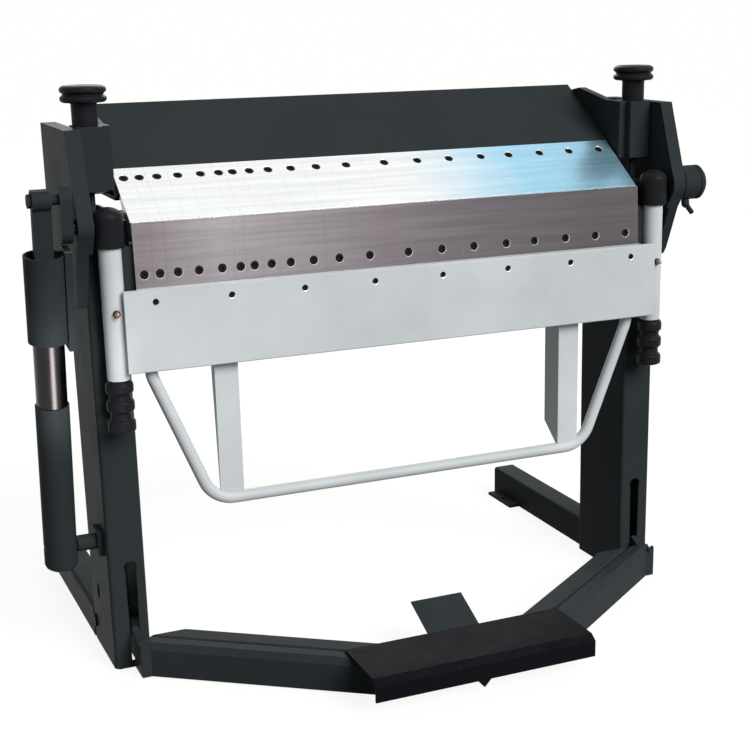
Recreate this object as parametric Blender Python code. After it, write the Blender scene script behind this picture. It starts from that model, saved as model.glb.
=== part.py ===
"""Foot-clamped sheet metal folding machine with segmented blades, as separate solids.

Every length is in metres. The machine stands on the floor at z = 0 with the operator at -Y.
Places are written in the machine's own frame, whose X = 0 is the middle of the blades and whose
Y = 0 is the front face of the folding blades at their foot. One empty, machine_frame, shifts the
whole machine so that the world's origin is the middle of its footprint on the floor.
"""
import math

import bpy
import bmesh
from mathutils import Matrix, Vector

# Running gap between neighbouring solids, and how far a cutter reaches past what it cuts.
GAP = 0.0003
OVERRUN = 0.004
ROUND_SIDES = 24
SMALL_SIDES = 12

# The work edge: the bed's front top edge is also the axis that the folding leaf swings about.
BLADE_LENGTH = 1.270
BLADE_HALF = BLADE_LENGTH / 2
BED_HEIGHT = 1.050
PIVOT_Y = 0.016

# Widths of the upper fingers and the folding blades, left to right, as shares of the blade length.
FINGER_WIDTH_SHARES = (40, 30, 50, 45, 60, 25, 40, 40, 50, 60, 65, 85, 195, 145, 180, 160)
WIDE_FINGER = 0.130
WIDE_SCREW_OFFSET = 0.043

# Clamping fingers, seen from the end: a sloping face from the nose up to the cover.
FINGER_RISE = 0.1007
FINGER_DEPTH = 0.1477
FINGER_THICKNESS = 0.012
FINGER_SOLE = 0.046
FINGER_HEEL_SHARE = 0.58
FINGER_NOSE_FLAT = 0.0012
FINGER_SETBACK = 0.002
FINGER_SCREW_FROM_TOP = 0.033

# Folding blades on the leaf.
BLADE_HEIGHT = 0.152
BLADE_FOOT_THICKNESS = 0.0157
BLADE_EDGE_THICKNESS = 0.0062
BLADE_SCREW_BELOW_EDGE = 0.112
KERF_WIDTH = 0.0004

# Cap screws in the fingers and blades, and the small ones in the apron, as (radius, height) pairs.
SCREW_HOLE = (0.0100, 0.0078)
SCREW_HEAD = (0.0085, 0.0060)
APRON_SCREW_HOLE = (0.0066, 0.0050)
APRON_SCREW_HEAD = (0.0056, 0.0040)
SCREW_ROOT = 0.0015
SCREW_SIDES = 10
APRON_SCREW_COUNT = 8
APRON_SCREW_INSET = 0.035
APRON_SCREW_SPAN = BLADE_LENGTH - 2 * APRON_SCREW_INSET
APRON_SCREW_BELOW_TOP = 0.027

# Clamping beam: a folded box behind the fingers, under a thin sloping cover.
BEAM_END_CLEARANCE = 0.006
COVER_DEPTH = 0.208
COVER_RISE = 0.130
COVER_THICKNESS = 0.008
BEAM_WALL = 0.010
BEAM_BACK_DEPTH = 0.114
BEAM_BELLY_DEPTH = 0.150
BEAM_BELLY_DROP = 0.012
BEAM_LIFT = 0.045

# End blocks of the beam, and the adjusting knobs on top of them.
BLOCK_CLEARANCE = 0.026
BLOCK_INNER_X = BLADE_HALF + BLOCK_CLEARANCE
BLOCK_WIDTH = 0.056
BLOCK_FRONT_Y = 0.092
BLOCK_DEPTH = 0.086
BLOCK_RISE = 0.061
BLOCK_BOTTOM = BED_HEIGHT + BLOCK_RISE
BLOCK_HEIGHT = 0.139
BLOCK_TOP = BLOCK_BOTTOM + BLOCK_HEIGHT
END_WEB_TOP_Y = 0.316
END_WEB_TOP_RISE = 0.025
END_WEB_SETBACK = 0.020
TOP_KNOB_STEM_RADIUS = 0.028
TOP_KNOB_STEM_HEIGHT = 0.050
TOP_KNOB_RADIUS = 0.050
TOP_KNOB_GROOVE = 0.011
TOP_KNOB_DISC = 0.036
TOP_KNOB_Y = 0.132
TOP_KNOB_OUT = 0.0565
TOP_KNOB_X = BLADE_HALF + TOP_KNOB_OUT
ROD_RADIUS = 0.010
ROD_EYE_RADIUS = 0.017
ROD_EYE_HEIGHT = 0.040
ROD_EYE_CLEARANCE = 0.012

# Columns: folded channels, open at the back.
COLUMN_CLEARANCE = 0.008
COLUMN_INNER_X = BLADE_HALF + COLUMN_CLEARANCE
COLUMN_WIDTH = 0.086
COLUMN_FRONT_Y = 0.067
COLUMN_DEPTH = 0.218
COLUMN_ABOVE_BED = 0.010
COLUMN_HEIGHT = BED_HEIGHT + COLUMN_ABOVE_BED
COLUMN_WALL = 0.006
COLUMN_LIP = 0.022
SLOT_WIDTH = 0.022
SLOT_BOTTOM = 0.016
SLOT_TOP = 0.250
SLOT_HEAD_RADIUS = 0.015
LEFT_SLOT_IN = 0.008
SIDE_HOLE_WIDTH = 0.024
SIDE_HOLE_HEIGHT = 0.040
SIDE_HOLE_Y = 0.205
SIDE_HOLE_Z = 0.150

# Cheeks: the thick side plates that carry the leaf's pivots.
CHEEK_THICKNESS = 0.025
CHEEK_PAD_OUT = 0.0856
CHEEK_PAD_INNER_X = BLADE_HALF + CHEEK_PAD_OUT
CHEEK_RISE = 0.198
CHEEK_TOP = BED_HEIGHT + CHEEK_RISE
CHEEK_DROP = 0.185
CHEEK_BOTTOM = BED_HEIGHT - CHEEK_DROP
CHEEK_TOP_FRONT_Y = 0.050
CHEEK_BACK_Y = 0.315
CHEEK_NOSE_RADIUS = 0.040
CHEEK_NOSE_TOP = 0.054
CHEEK_THROAT_DROP = 0.060
CHEEK_TOE_Y = 0.055
CHEEK_TOE_RISE = 0.016
PIVOT_SHAFT_RADIUS = 0.015

# Bed: a box beam between the columns with a bolted nose bar.
BED_NOSE_FACE = 0.025
BED_NOSE_UNDERCUT = 0.050
BED_NOSE_DEPTH = 0.064
BED_NOSE_SLOPE_DEPTH = 0.0287
BED_DEPTH = 0.180
BED_BEAM_HEIGHT = 0.180
BED_WALL = 0.012
BED_FRONT_Y = 0.060

# Leaf: apron, stiffening bar, lifting tubes, brackets and bail handle.
APRON_OVERHANG = 0.034
APRON_HALF_WIDTH = BLADE_HALF + APRON_OVERHANG
APRON_FRONT_Y = -0.024
APRON_THICKNESS = 0.012
APRON_DROP = 0.141
APRON_TOP = BED_HEIGHT - APRON_DROP
APRON_HEIGHT = 0.182
APRON_BOTTOM = APRON_TOP - APRON_HEIGHT
APRON_FLANGE_IN = 0.033
APRON_FLANGE_HALF_WIDTH = APRON_HALF_WIDTH - APRON_FLANGE_IN
APRON_TOP_FLANGE_BACK_Y = -0.0003
APRON_BOTTOM_FLANGE = 0.008
APRON_BOTTOM_FLANGE_BACK_Y = 0.030
LEAF_BAR_THICKNESS = 0.022
LEAF_BAR_DROP = 0.190
LEAF_BAR_BOTTOM = BED_HEIGHT - LEAF_BAR_DROP
LEAF_BAR_BELOW_BED = 0.050
LEAF_BAR_TOP = BED_HEIGHT - LEAF_BAR_BELOW_BED
HEAD_OUT = 0.049
HEAD_X = BLADE_HALF + HEAD_OUT
HEAD_Y = 0.015
HEAD_RADIUS = 0.034
HEAD_DROP = 0.048
HEAD_BOTTOM = BED_HEIGHT - HEAD_DROP
HEAD_RISE = 0.014
HEAD_SHOULDER = BED_HEIGHT + HEAD_RISE
HEAD_DOME = 0.024
TUBE_RADIUS = 0.025
TUBE_BORE = 0.0145
TUBE_DROP = 0.340
TUBE_BOTTOM = BED_HEIGHT - TUBE_DROP
SPINDLE_RADIUS = 0.0142
SPINDLE_DROP = 0.400
SPINDLE_BOTTOM = BED_HEIGHT - SPINDLE_DROP
LOW_KNOB_RADIUS = 0.031
LEAF_TRAVEL = 0.006
LOW_KNOB_DROP = 0.458
LOW_KNOB_BOTTOM = BED_HEIGHT - LOW_KNOB_DROP
LOW_KNOB_LENGTH = 0.116
LOW_KNOB_TOP = LOW_KNOB_BOTTOM + LOW_KNOB_LENGTH
BRACKET_IN = 0.221
BRACKET_INNER_X = BLADE_HALF - BRACKET_IN
BRACKET_WIDTH = 0.056
BRACKET_FRONT_Y = 0.006
BRACKET_WALL = 0.004
BRACKET_DEPTH = 0.070
BRACKET_LIP = 0.024
BRACKET_SLANT = 0.052
HANDLE_RADIUS = 0.014
HANDLE_Y = 0.012
HANDLE_DROP = 0.648
HANDLE_BOTTOM_Z = BED_HEIGHT - HANDLE_DROP
HANDLE_TOP_IN = 0.023
HANDLE_TOP_X = BLADE_HALF - HANDLE_TOP_IN
HANDLE_CORNER_IN = 0.148
HANDLE_CORNER_X = BLADE_HALF - HANDLE_CORNER_IN
HANDLE_BEND = 0.075
HANDLE_SIDES = 12
HANDLE_BEND_STEPS = 6

# Angle stop on the right-hand end of the pivot shaft.
COLLAR_RADIUS = 0.0425
COLLAR_LENGTH = 0.064
COLLAR_CHAMFER = 0.008
COLLAR_CAP_RADIUS = 0.024
COLLAR_CAP_LENGTH = 0.004
LEVER_FROM_CHEEK = 0.020
LEVER_ANGLE = math.radians(258)
LEVER_HUB_RADIUS = 0.010
LEVER_HUB_LENGTH = 0.020
LEVER_ARM_RADIUS = 0.0065
LEVER_ARM_LENGTH = 0.034

# Counterbalance strut on the left-hand side.
STRUT_OUT = 0.187
STRUT_X = BLADE_HALF + STRUT_OUT
STRUT_BASE_Y = 0.130
STRUT_DROP = 0.745
STRUT_BASE_Z = BED_HEIGHT - STRUT_DROP
CRANK_RADIUS = 0.062
CRANK_OUT = 0.127
CRANK_PLATE_INNER_X = BLADE_HALF + CRANK_OUT
CRANK_PLATE_THICKNESS = 0.024
CRANK_HUB_RADIUS = 0.034
CRANK_END_RADIUS = 0.026
CRANK_PIN_RADIUS = 0.011
CRANK_HEAD_RADIUS = 0.015
CRANK_HEAD_LENGTH = 0.008
LINK_WIDTH = 0.040
LINK_DEPTH = 0.020
LINK_TOP = 0.022
LINK_LENGTH = 0.160
SLEEVE_RADIUS = 0.0435
SLEEVE_WALL = 0.004
SLEEVE_LENGTH = 0.194
SLEEVE_TOP_BELOW_PIN = 0.117
SLEEVE_COLLAR = 0.020
SLEEVE_PLATE_THICKNESS = 0.016
SLEEVE_PLATE_WIDTH = 0.052
INNER_TUBE_RADIUS = 0.034
INNER_TUBE_ENTRY = 0.024
LOWER_TUBE_RADIUS = 0.0375
LOWER_TUBE_TOP = 0.355
LOWER_TUBE_TAIL = 0.060
STRUT_PIN_RADIUS = 0.012
STRUT_BOSS_RADIUS = 0.019
STRUT_FOOT_SIZE = 0.060
STRUT_FOOT_THICKNESS = 0.012

# Rear feet with their floor plates.
FOOT_OUT = 0.025
FOOT_INNER_X = BLADE_HALF + FOOT_OUT
FOOT_WIDTH = 0.070
FOOT_HEIGHT = 0.080
FOOT_WALL = 0.006
FOOT_BACK_Y = 0.840
PLATE_IN = 0.007
PLATE_INNER_X = BLADE_HALF - PLATE_IN
PLATE_FRONT_Y = 0.674
PLATE_BACK_Y = 0.820
PLATE_THICKNESS = 0.008
ANCHOR_HOLE_RADIUS = 0.007

# Foot pedal: two arms on levers through the column slots, a tread and a release tab.
PEDAL_PIVOT_Y = 0.262
PEDAL_PIVOT_Z = 0.052
PEDAL_PIN_RADIUS = 0.010
PEDAL_PIN_HEAD = 0.016
PEDAL_PIN_HEAD_LENGTH = 0.005
LEVER_THICKNESS = 0.014
LEVER_BOSS_RADIUS = 0.022
LEVER_LOW_Z = 0.024
LEVER_HIGH_Z = 0.076
LEVER_BRACE_RISE = 0.026
LEVER_REACH_Y = 0.010
ARM_BOTTOM = 0.004
ARM_TOP = 0.084
ARM_WIDTH = 0.100
ARM_CHAMFER = 0.014
ARM_OUT = 0.082
ARM_OUTER_X = BLADE_HALF + ARM_OUT
ARM_CORNER_Y = 0.012
ARM_FOLD_OUT = 0.059
ARM_FOLD_X = BLADE_HALF + ARM_FOLD_OUT
ARM_END_SHARE = 0.356
ARM_END_X = BLADE_HALF * ARM_END_SHARE
ARM_END_Y = -0.330
ARM_SLOPE = (ARM_CORNER_Y - ARM_END_Y) / (ARM_FOLD_X - ARM_END_X)
ARM_GROOVE_FROM_OUTER = 0.048
ARM_GROOVE_WIDTH = 0.012
ARM_GROOVE_DEPTH = 0.008
ARM_END_CLEARANCE = 0.002
LEFT_ARM_CUT = 0.032
TREAD_OVERHANG = 0.048
TREAD_HALF_WIDTH = ARM_END_X + TREAD_OVERHANG
TREAD_BACK_Y = -0.247
TREAD_FRONT_Y = -0.430
TREAD_THICKNESS = 0.006
TREAD_LIP_BOTTOM = 0.039
TREAD_NOSE_DROP = 0.012
TREAD_NOSE_DEPTH = 0.018
TREAD_TIP_WIDTH = 0.040
TREAD_TIP_DROP = 0.018
TREAD_TIP_X = -0.011
TAB_HALF_WIDTH = 0.066
TAB_LENGTH = 0.108
TAB_ANGLE = math.radians(24)
TAB_THICKNESS = 0.004

# Places that follow from the sizes above.
FINGER_SLOPE = math.hypot(FINGER_DEPTH, FINGER_RISE)
FINGER_DIRECTION = Vector((0, FINGER_DEPTH, FINGER_RISE)) / FINGER_SLOPE
FINGER_NORMAL = Vector((0, -FINGER_RISE, FINGER_DEPTH)) / FINGER_SLOPE
FINGER_NOSE = Vector((0, PIVOT_Y + FINGER_SETBACK, BED_HEIGHT + GAP))
FINGER_TOP = FINGER_NOSE + FINGER_DIRECTION * FINGER_SLOPE
COVER_TOP = FINGER_TOP + Vector((0, COVER_DEPTH, COVER_RISE))
BEAM_HALF_WIDTH = BLADE_LENGTH / 2 + BEAM_END_CLEARANCE
BLADE_BOTTOM = BED_HEIGHT - BLADE_HEIGHT
COLUMN_OUTER_X = COLUMN_INNER_X + COLUMN_WIDTH
COLUMN_BACK_Y = COLUMN_FRONT_Y + COLUMN_DEPTH
COLUMN_MIDDLE_X = COLUMN_INNER_X + COLUMN_WIDTH / 2
SLOT_X = {-1: COLUMN_MIDDLE_X - LEFT_SLOT_IN, 1: COLUMN_MIDDLE_X}
ARM_CUT = {-1: LEFT_ARM_CUT, 1: 0}
CHEEK_OUTER_X = COLUMN_OUTER_X + GAP + CHEEK_THICKNESS
PIVOT = Vector((0, PIVOT_Y, BED_HEIGHT))
STRUT_BASE = Vector((-STRUT_X, STRUT_BASE_Y, STRUT_BASE_Z))
STRUT_LINE = (Vector((-STRUT_X, PIVOT_Y, BED_HEIGHT)) - STRUT_BASE).normalized()
CRANK_PIN = Vector((-STRUT_X, PIVOT_Y, BED_HEIGHT)) + STRUT_LINE * CRANK_RADIUS
CRANK_PIN_REACH = (CRANK_PIN - STRUT_BASE).length
PEDAL_LIFT_ANGLE = BEAM_LIFT / (PEDAL_PIVOT_Y - TOP_KNOB_Y)
TREAD_BOTTOM = ARM_TOP + GAP
TREAD_TOP = TREAD_BOTTOM + TREAD_THICKNESS

# Outermost points of the machine, which place the world's origin under its middle.
RIGHT_END_X = CHEEK_OUTER_X + GAP + COLLAR_LENGTH + COLLAR_CAP_LENGTH
LEFT_END_X = -(STRUT_X + SLEEVE_RADIUS)
ORIGIN = Vector(((LEFT_END_X + RIGHT_END_X) / 2, (TREAD_FRONT_Y + FOOT_BACK_Y) / 2, 0))


def clear_scene():
    """Removes whatever the open file holds."""
    for thing in list(bpy.data.objects):
        bpy.data.objects.remove(thing, do_unlink=True)


def paint(name, colour, roughness, metallic):
    """A plain Principled material."""
    material = bpy.data.materials.new(name)
    material.use_nodes = True
    shader = material.node_tree.nodes["Principled BSDF"]
    shader.inputs["Base Color"].default_value = (*colour, 1)
    shader.inputs["Roughness"].default_value = roughness
    shader.inputs["Metallic"].default_value = metallic
    return material


class Carrier:
    """An empty on a joint's axis, and the point of the machine's frame where it stands."""

    def __init__(self, name, place, parent=None):
        self.place = Vector(place)
        self.empty = bpy.data.objects.new(name, None)
        bpy.context.scene.collection.objects.link(self.empty)
        if parent is None:
            self.empty.location = -ORIGIN
        else:
            self.empty.parent = parent.empty
            self.empty.location = self.place - parent.place


def add_piece(name, mesh_data, material, carrier):
    """Turns a bmesh in the machine's frame into a named object that hangs on its carrier."""
    bmesh.ops.translate(mesh_data, verts=mesh_data.verts, vec=-carrier.place)
    mesh = bpy.data.meshes.new(name)
    mesh_data.to_mesh(mesh)
    mesh_data.free()
    mesh.shade_smooth()
    mesh.set_sharp_from_angle(angle=math.radians(32))
    if material is not None:
        mesh.materials.append(material)
    piece = bpy.data.objects.new(name, mesh)
    piece.parent = carrier.empty
    bpy.context.scene.collection.objects.link(piece)
    return piece


def combine(target, name, mesh_data, carrier, operation):
    """Joins a helper solid to a piece, or cuts the piece with it."""
    helper = add_piece(name, mesh_data, None, carrier)
    helper.hide_render = True
    helper.display_type = "WIRE"
    modifier = target.modifiers.new(name, "BOOLEAN")
    modifier.operation = operation
    modifier.solver = "EXACT"
    modifier.object = helper


def cut(target, name, mesh_data, carrier):
    combine(target, name, mesh_data, carrier, "DIFFERENCE")


def join(target, name, mesh_data, carrier):
    combine(target, name, mesh_data, carrier, "UNION")


def merged(parts):
    """Puts several solids that stay clear of each other into one bmesh."""
    whole = bmesh.new()
    for part in parts:
        mesh = bpy.data.meshes.new("scratch")
        part.to_mesh(mesh)
        part.free()
        whole.from_mesh(mesh)
        bpy.data.meshes.remove(mesh)
    return whole


def prism(outline, low, high, along="X"):
    """Extrudes a closed outline. Its points are (y, z) along X, (x, z) along Y, (x, y) along Z."""
    place = {
        "X": lambda p, t: (t, p[0], p[1]),
        "Y": lambda p, t: (p[0], t, p[1]),
        "Z": lambda p, t: (p[0], p[1], t),
    }[along]
    solid = bmesh.new()
    ends = [[solid.verts.new(place(p, t)) for p in outline] for t in (low, high)]
    for end in ends:
        solid.faces.new(end)
    count = len(outline)
    for i in range(count):
        j = (i + 1) % count
        solid.faces.new((ends[0][i], ends[0][j], ends[1][j], ends[1][i]))
    bmesh.ops.recalc_face_normals(solid, faces=solid.faces)
    return solid


def block(low, high):
    """A box between two corners."""
    (x0, y0, z0), (x1, y1, z1) = low, high
    return prism([(y0, z0), (y1, z0), (y1, z1), (y0, z1)], x0, x1)


def turned(profile, foot, direction, sides=ROUND_SIDES):
    """Turns a profile of (radius, height) points, foot to tip, about a line from foot."""
    turn = Vector((0, 0, 1)).rotation_difference(Vector(direction)).to_matrix().to_4x4()
    solid = bmesh.new()
    rings = []
    for radius, height in profile:
        if radius == 0:
            rings.append([solid.verts.new((0, 0, height))])
            continue
        ring = []
        for k in range(sides):
            angle = 2 * math.pi * k / sides
            ring.append(solid.verts.new((radius * math.cos(angle), radius * math.sin(angle), height)))
        rings.append(ring)
    for lower, upper in zip(rings, rings[1:]):
        for k in range(sides):
            m = (k + 1) % sides
            if len(lower) == 1:
                solid.faces.new((lower[0], upper[m], upper[k]))
            elif len(upper) == 1:
                solid.faces.new((lower[k], lower[m], upper[0]))
            else:
                solid.faces.new((lower[k], lower[m], upper[m], upper[k]))
    for ring in (rings[0], rings[-1]):
        if len(ring) > 1:
            solid.faces.new(ring)
    bmesh.ops.recalc_face_normals(solid, faces=solid.faces)
    bmesh.ops.transform(solid, matrix=Matrix.Translation(Vector(foot)) @ turn, verts=solid.verts)
    return solid


def rod(start, end, radius, sides=ROUND_SIDES):
    """A plain round bar between two points."""
    start = Vector(start)
    line = Vector(end) - start
    return turned([(radius, 0), (radius, line.length)], start, line.normalized(), sides)


def pipe(start, end, radius, bore, sides=ROUND_SIDES):
    """A round tube between two points, open at both ends."""
    start = Vector(start)
    line = Vector(end) - start
    length = line.length
    wall = [(bore, 0), (radius, 0), (radius, length), (bore, length)]
    solid = turned(wall, start, line.normalized(), sides)
    caps = [face for face in solid.faces if len(face.verts) == sides]
    bmesh.ops.delete(solid, geom=caps, context="FACES_ONLY")
    ends = [edge for edge in solid.edges if edge.is_boundary]
    bmesh.ops.bridge_loops(solid, edges=ends)
    bmesh.ops.recalc_face_normals(solid, faces=solid.faces)
    return solid


def swept(points, radius, sides):
    """A round bar that follows a line of points lying in one X-Z plane."""
    solid = bmesh.new()
    rings = []
    across = Vector((0, 1, 0))
    for i, point in enumerate(points):
        before = points[max(i - 1, 0)]
        after = points[min(i + 1, len(points) - 1)]
        outwards = (after - before).normalized().cross(across)
        angles = (2 * math.pi * k / sides for k in range(sides))
        ring = [point + radius * (math.cos(a) * across + math.sin(a) * outwards) for a in angles]
        rings.append([solid.verts.new(place) for place in ring])
    for lower, upper in zip(rings, rings[1:]):
        for k in range(sides):
            m = (k + 1) % sides
            solid.faces.new((lower[k], lower[m], upper[m], upper[k]))
    solid.faces.new(rings[0])
    solid.faces.new(rings[-1])
    bmesh.ops.recalc_face_normals(solid, faces=solid.faces)
    return solid


def inset(outline, wall):
    """The outline moved inwards by a wall's thickness. The points run counter-clockwise."""
    count = len(outline)
    moved = []
    for i in range(count):
        a, b, c = (Vector(outline[(i + k - 1) % count]) for k in range(3))
        first = (b - a).normalized()
        second = (c - b).normalized()
        first_normal = Vector((-first.y, first.x))
        second_normal = Vector((-second.y, second.x))
        spread = 1 + first_normal.dot(second_normal)
        moved.append(b + (first_normal + second_normal) * wall / spread)
    return [tuple(point) for point in moved]


def arc(centre, radius, start, end, steps):
    """Points of an arc in the plane of an outline, with its angles in degrees."""
    angles = (math.radians(start + (end - start) * k / steps) for k in range(steps + 1))
    return [(centre[0] + radius * math.cos(a), centre[1] + radius * math.sin(a)) for a in angles]


def capsule(first, second, first_radius, second_radius, low, high):
    """A plate with two round ends, standing across X."""
    line = Vector(second) - Vector(first)
    heading = math.degrees(math.atan2(line.y, line.x))
    outline = arc(first, first_radius, heading + 90, heading + 270, 8)
    outline += arc(second, second_radius, heading - 90, heading + 90, 8)
    return prism(outline, low, high)


def finger_spans():
    """The start and end of each finger along X, with a gap between neighbours."""
    total = sum(FINGER_WIDTH_SHARES)
    place = -BLADE_LENGTH / 2
    spans = []
    for share in FINGER_WIDTH_SHARES:
        width = BLADE_LENGTH * share / total
        spans.append((place + GAP / 2, place + width - GAP / 2))
        place += width
    return spans


def screw_places(span):
    """Where the cap screws of one finger stand along X: two in a wide one, otherwise one."""
    middle = (span[0] + span[1]) / 2
    if span[1] - span[0] < WIDE_FINGER:
        return [middle]
    return [middle - WIDE_SCREW_OFFSET, middle + WIDE_SCREW_OFFSET]


def mirrored_pair(side, low_x, high_x):
    """A span on one side of the machine, smaller X first."""
    return tuple(sorted((side * low_x, side * high_x)))


# Columns, cheeks and feet.

def column(name, side, material, carrier):
    inner = COLUMN_INNER_X
    outer = COLUMN_OUTER_X
    wall = COLUMN_WALL
    front = COLUMN_FRONT_Y
    back = COLUMN_BACK_Y
    section = [
        (inner, front), (outer, front), (outer, back), (outer - COLUMN_LIP, back),
        (outer - COLUMN_LIP, back - wall), (outer - wall, back - wall), (outer - wall, front + wall),
        (inner + wall, front + wall), (inner + wall, back - wall), (inner + COLUMN_LIP, back - wall),
        (inner + COLUMN_LIP, back), (inner, back),
    ]
    section = [(side * x, y) for x, y in section]
    piece = add_piece(name, prism(section, 0, COLUMN_HEIGHT, "Z"), material, carrier)

    middle = side * SLOT_X[side]
    slot = [(middle - SLOT_WIDTH / 2, SLOT_BOTTOM), (middle + SLOT_WIDTH / 2, SLOT_BOTTOM)]
    slot += arc((middle, SLOT_TOP), SLOT_HEAD_RADIUS, -30, 210, 8)
    cut(piece, name + "_slot", prism(slot, front - OVERRUN, front + wall + OVERRUN, "Y"), carrier)

    half = SIDE_HOLE_HEIGHT / 2 - SIDE_HOLE_WIDTH / 2
    hole = arc((SIDE_HOLE_Y, SIDE_HOLE_Z + half), SIDE_HOLE_WIDTH / 2, 0, 180, 6)
    hole += arc((SIDE_HOLE_Y, SIDE_HOLE_Z - half), SIDE_HOLE_WIDTH / 2, 180, 360, 6)
    low, high = mirrored_pair(side, outer - wall - OVERRUN, outer + OVERRUN)
    cut(piece, name + "_side_hole", prism(hole, low, high), carrier)

    ends = [(side * x, PEDAL_PIVOT_Y, PEDAL_PIVOT_Z) for x in (inner - OVERRUN, outer + OVERRUN)]
    bore = rod(ends[0], ends[1], PEDAL_PIN_RADIUS + GAP, SMALL_SIDES)
    cut(piece, name + "_pin_holes", bore, carrier)
    return piece


def cheek(name, side, material, carrier):
    nose = (PIVOT_Y, BED_HEIGHT)
    throat = (PIVOT_Y - CHEEK_NOSE_RADIUS * math.sin(math.radians(10)), BED_HEIGHT - CHEEK_THROAT_DROP)
    shoulder = (PIVOT_Y - CHEEK_NOSE_RADIUS / 2, BED_HEIGHT + CHEEK_NOSE_TOP)
    outline = [
        (CHEEK_TOP_FRONT_Y, CHEEK_TOP), shoulder,
        *arc(nose, CHEEK_NOSE_RADIUS, 148, 222, 5),
        throat, (CHEEK_TOE_Y, CHEEK_BOTTOM + CHEEK_TOE_RISE), (COLUMN_FRONT_Y, CHEEK_BOTTOM),
        (COLUMN_BACK_Y, CHEEK_BOTTOM), (CHEEK_BACK_Y, COLUMN_HEIGHT), (CHEEK_BACK_Y, CHEEK_TOP),
    ]
    low, high = mirrored_pair(side, COLUMN_OUTER_X + GAP, CHEEK_OUTER_X)
    piece = add_piece(name, prism(outline, low, high), material, carrier)

    pad = [
        (CHEEK_TOP_FRONT_Y, CHEEK_TOP), shoulder, *arc(nose, CHEEK_NOSE_RADIUS, 148, 222, 5), throat,
        (COLUMN_FRONT_Y - GAP, BED_HEIGHT - CHEEK_THROAT_DROP), (COLUMN_FRONT_Y - GAP, COLUMN_HEIGHT + GAP),
        (CHEEK_BACK_Y, COLUMN_HEIGHT + GAP), (CHEEK_BACK_Y, CHEEK_TOP),
    ]
    low, high = mirrored_pair(side, CHEEK_PAD_INNER_X, COLUMN_OUTER_X + 2 * GAP)
    join(piece, name + "_pad", prism(pad, low, high), carrier)

    ends = [(side * x, PIVOT_Y, BED_HEIGHT) for x in (CHEEK_PAD_INNER_X - OVERRUN, CHEEK_OUTER_X + OVERRUN)]
    cut(piece, name + "_bore", rod(ends[0], ends[1], PIVOT_SHAFT_RADIUS + GAP), carrier)
    return piece


def rear_foot(name, side, material, carrier):
    inner = FOOT_INNER_X
    outer = FOOT_INNER_X + FOOT_WIDTH
    wall = FOOT_WALL
    section = [
        (inner, 0), (inner, FOOT_HEIGHT), (outer, FOOT_HEIGHT), (outer, 0),
        (outer - wall, 0), (outer - wall, FOOT_HEIGHT - wall),
        (inner + wall, FOOT_HEIGHT - wall), (inner + wall, 0),
    ]
    section = [(side * x, z) for x, z in section]
    piece = add_piece(name, prism(section, COLUMN_BACK_Y + GAP, FOOT_BACK_Y, "Y"), material, carrier)

    low, high = mirrored_pair(side, PLATE_INNER_X, inner + wall / 2)
    plate = block((low, PLATE_FRONT_Y, 0), (high, PLATE_BACK_Y, PLATE_THICKNESS))
    join(piece, name + "_plate", plate, carrier)
    centre = (side * (PLATE_INNER_X + inner) / 2, (PLATE_FRONT_Y + PLATE_BACK_Y) / 2)
    hole = rod((*centre, -OVERRUN), (*centre, PLATE_THICKNESS + OVERRUN), ANCHOR_HOLE_RADIUS, SMALL_SIDES)
    cut(piece, name + "_anchor_hole", hole, carrier)
    return piece


# Bed.

def bed_beam(material, carrier):
    front = BED_FRONT_Y
    back = front + BED_DEPTH
    bottom = BED_HEIGHT - BED_BEAM_HEIGHT
    step_y = PIVOT_Y + BED_NOSE_DEPTH + GAP
    step_z = BED_HEIGHT - BED_NOSE_UNDERCUT - GAP
    outline = [
        (front, bottom), (back, bottom), (back, BED_HEIGHT),
        (step_y, BED_HEIGHT), (step_y, step_z), (front, step_z),
    ]
    half = COLUMN_INNER_X - GAP
    piece = add_piece("bed_beam", prism(outline, -half, half), material, carrier)
    hollow = inset(outline, BED_WALL)
    cut(piece, "bed_beam_hollow", prism(hollow, -half - OVERRUN, half + OVERRUN), carrier)
    return piece


def bed_nose(material, carrier):
    face_y = PIVOT_Y + GAP
    bottom = BED_HEIGHT - BED_NOSE_UNDERCUT
    back = PIVOT_Y + BED_NOSE_DEPTH
    outline = [
        (face_y, BED_HEIGHT), (face_y, BED_HEIGHT - BED_NOSE_FACE),
        (face_y + BED_NOSE_SLOPE_DEPTH, bottom), (back, bottom), (back, BED_HEIGHT),
    ]
    return add_piece("bed_nose", prism(outline, -BLADE_LENGTH / 2, BLADE_LENGTH / 2), material, carrier)


# Clamping beam with its fingers.

def finger_outline():
    nose = FINGER_NOSE
    back = FINGER_TOP - FINGER_NORMAL * FINGER_THICKNESS
    heel = back - FINGER_DIRECTION * FINGER_SLOPE * (1 - FINGER_HEEL_SHARE)
    return [
        (nose.y, nose.z), (nose.y, nose.z + FINGER_NOSE_FLAT), (FINGER_TOP.y, FINGER_TOP.z),
        (back.y, back.z), (heel.y, heel.z), (nose.y + FINGER_SOLE, nose.z),
    ]


def facet_point(x, below_top):
    """A point on the fingers' sloping face."""
    point = FINGER_TOP - FINGER_DIRECTION * below_top
    return Vector((x, point.y, point.z))


def sink_screws(piece, name, mouths, outwards, hole, head, carrier):
    """Sinks cap screws into a piece: a counterbore at each mouth with the head standing in it."""
    hole_radius, hole_depth = hole
    head_radius, head_height = head
    holes = []
    heads = []
    for mouth in mouths:
        floor = mouth - outwards * hole_depth
        root = floor - outwards * SCREW_ROOT
        holes.append(rod(floor, mouth + outwards * OVERRUN, hole_radius, SCREW_SIDES))
        heads.append(rod(root, floor + outwards * head_height, head_radius, SCREW_SIDES))
    cut(piece, name + "_holes", merged(holes), carrier)
    join(piece, name + "_heads", merged(heads), carrier)


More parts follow.
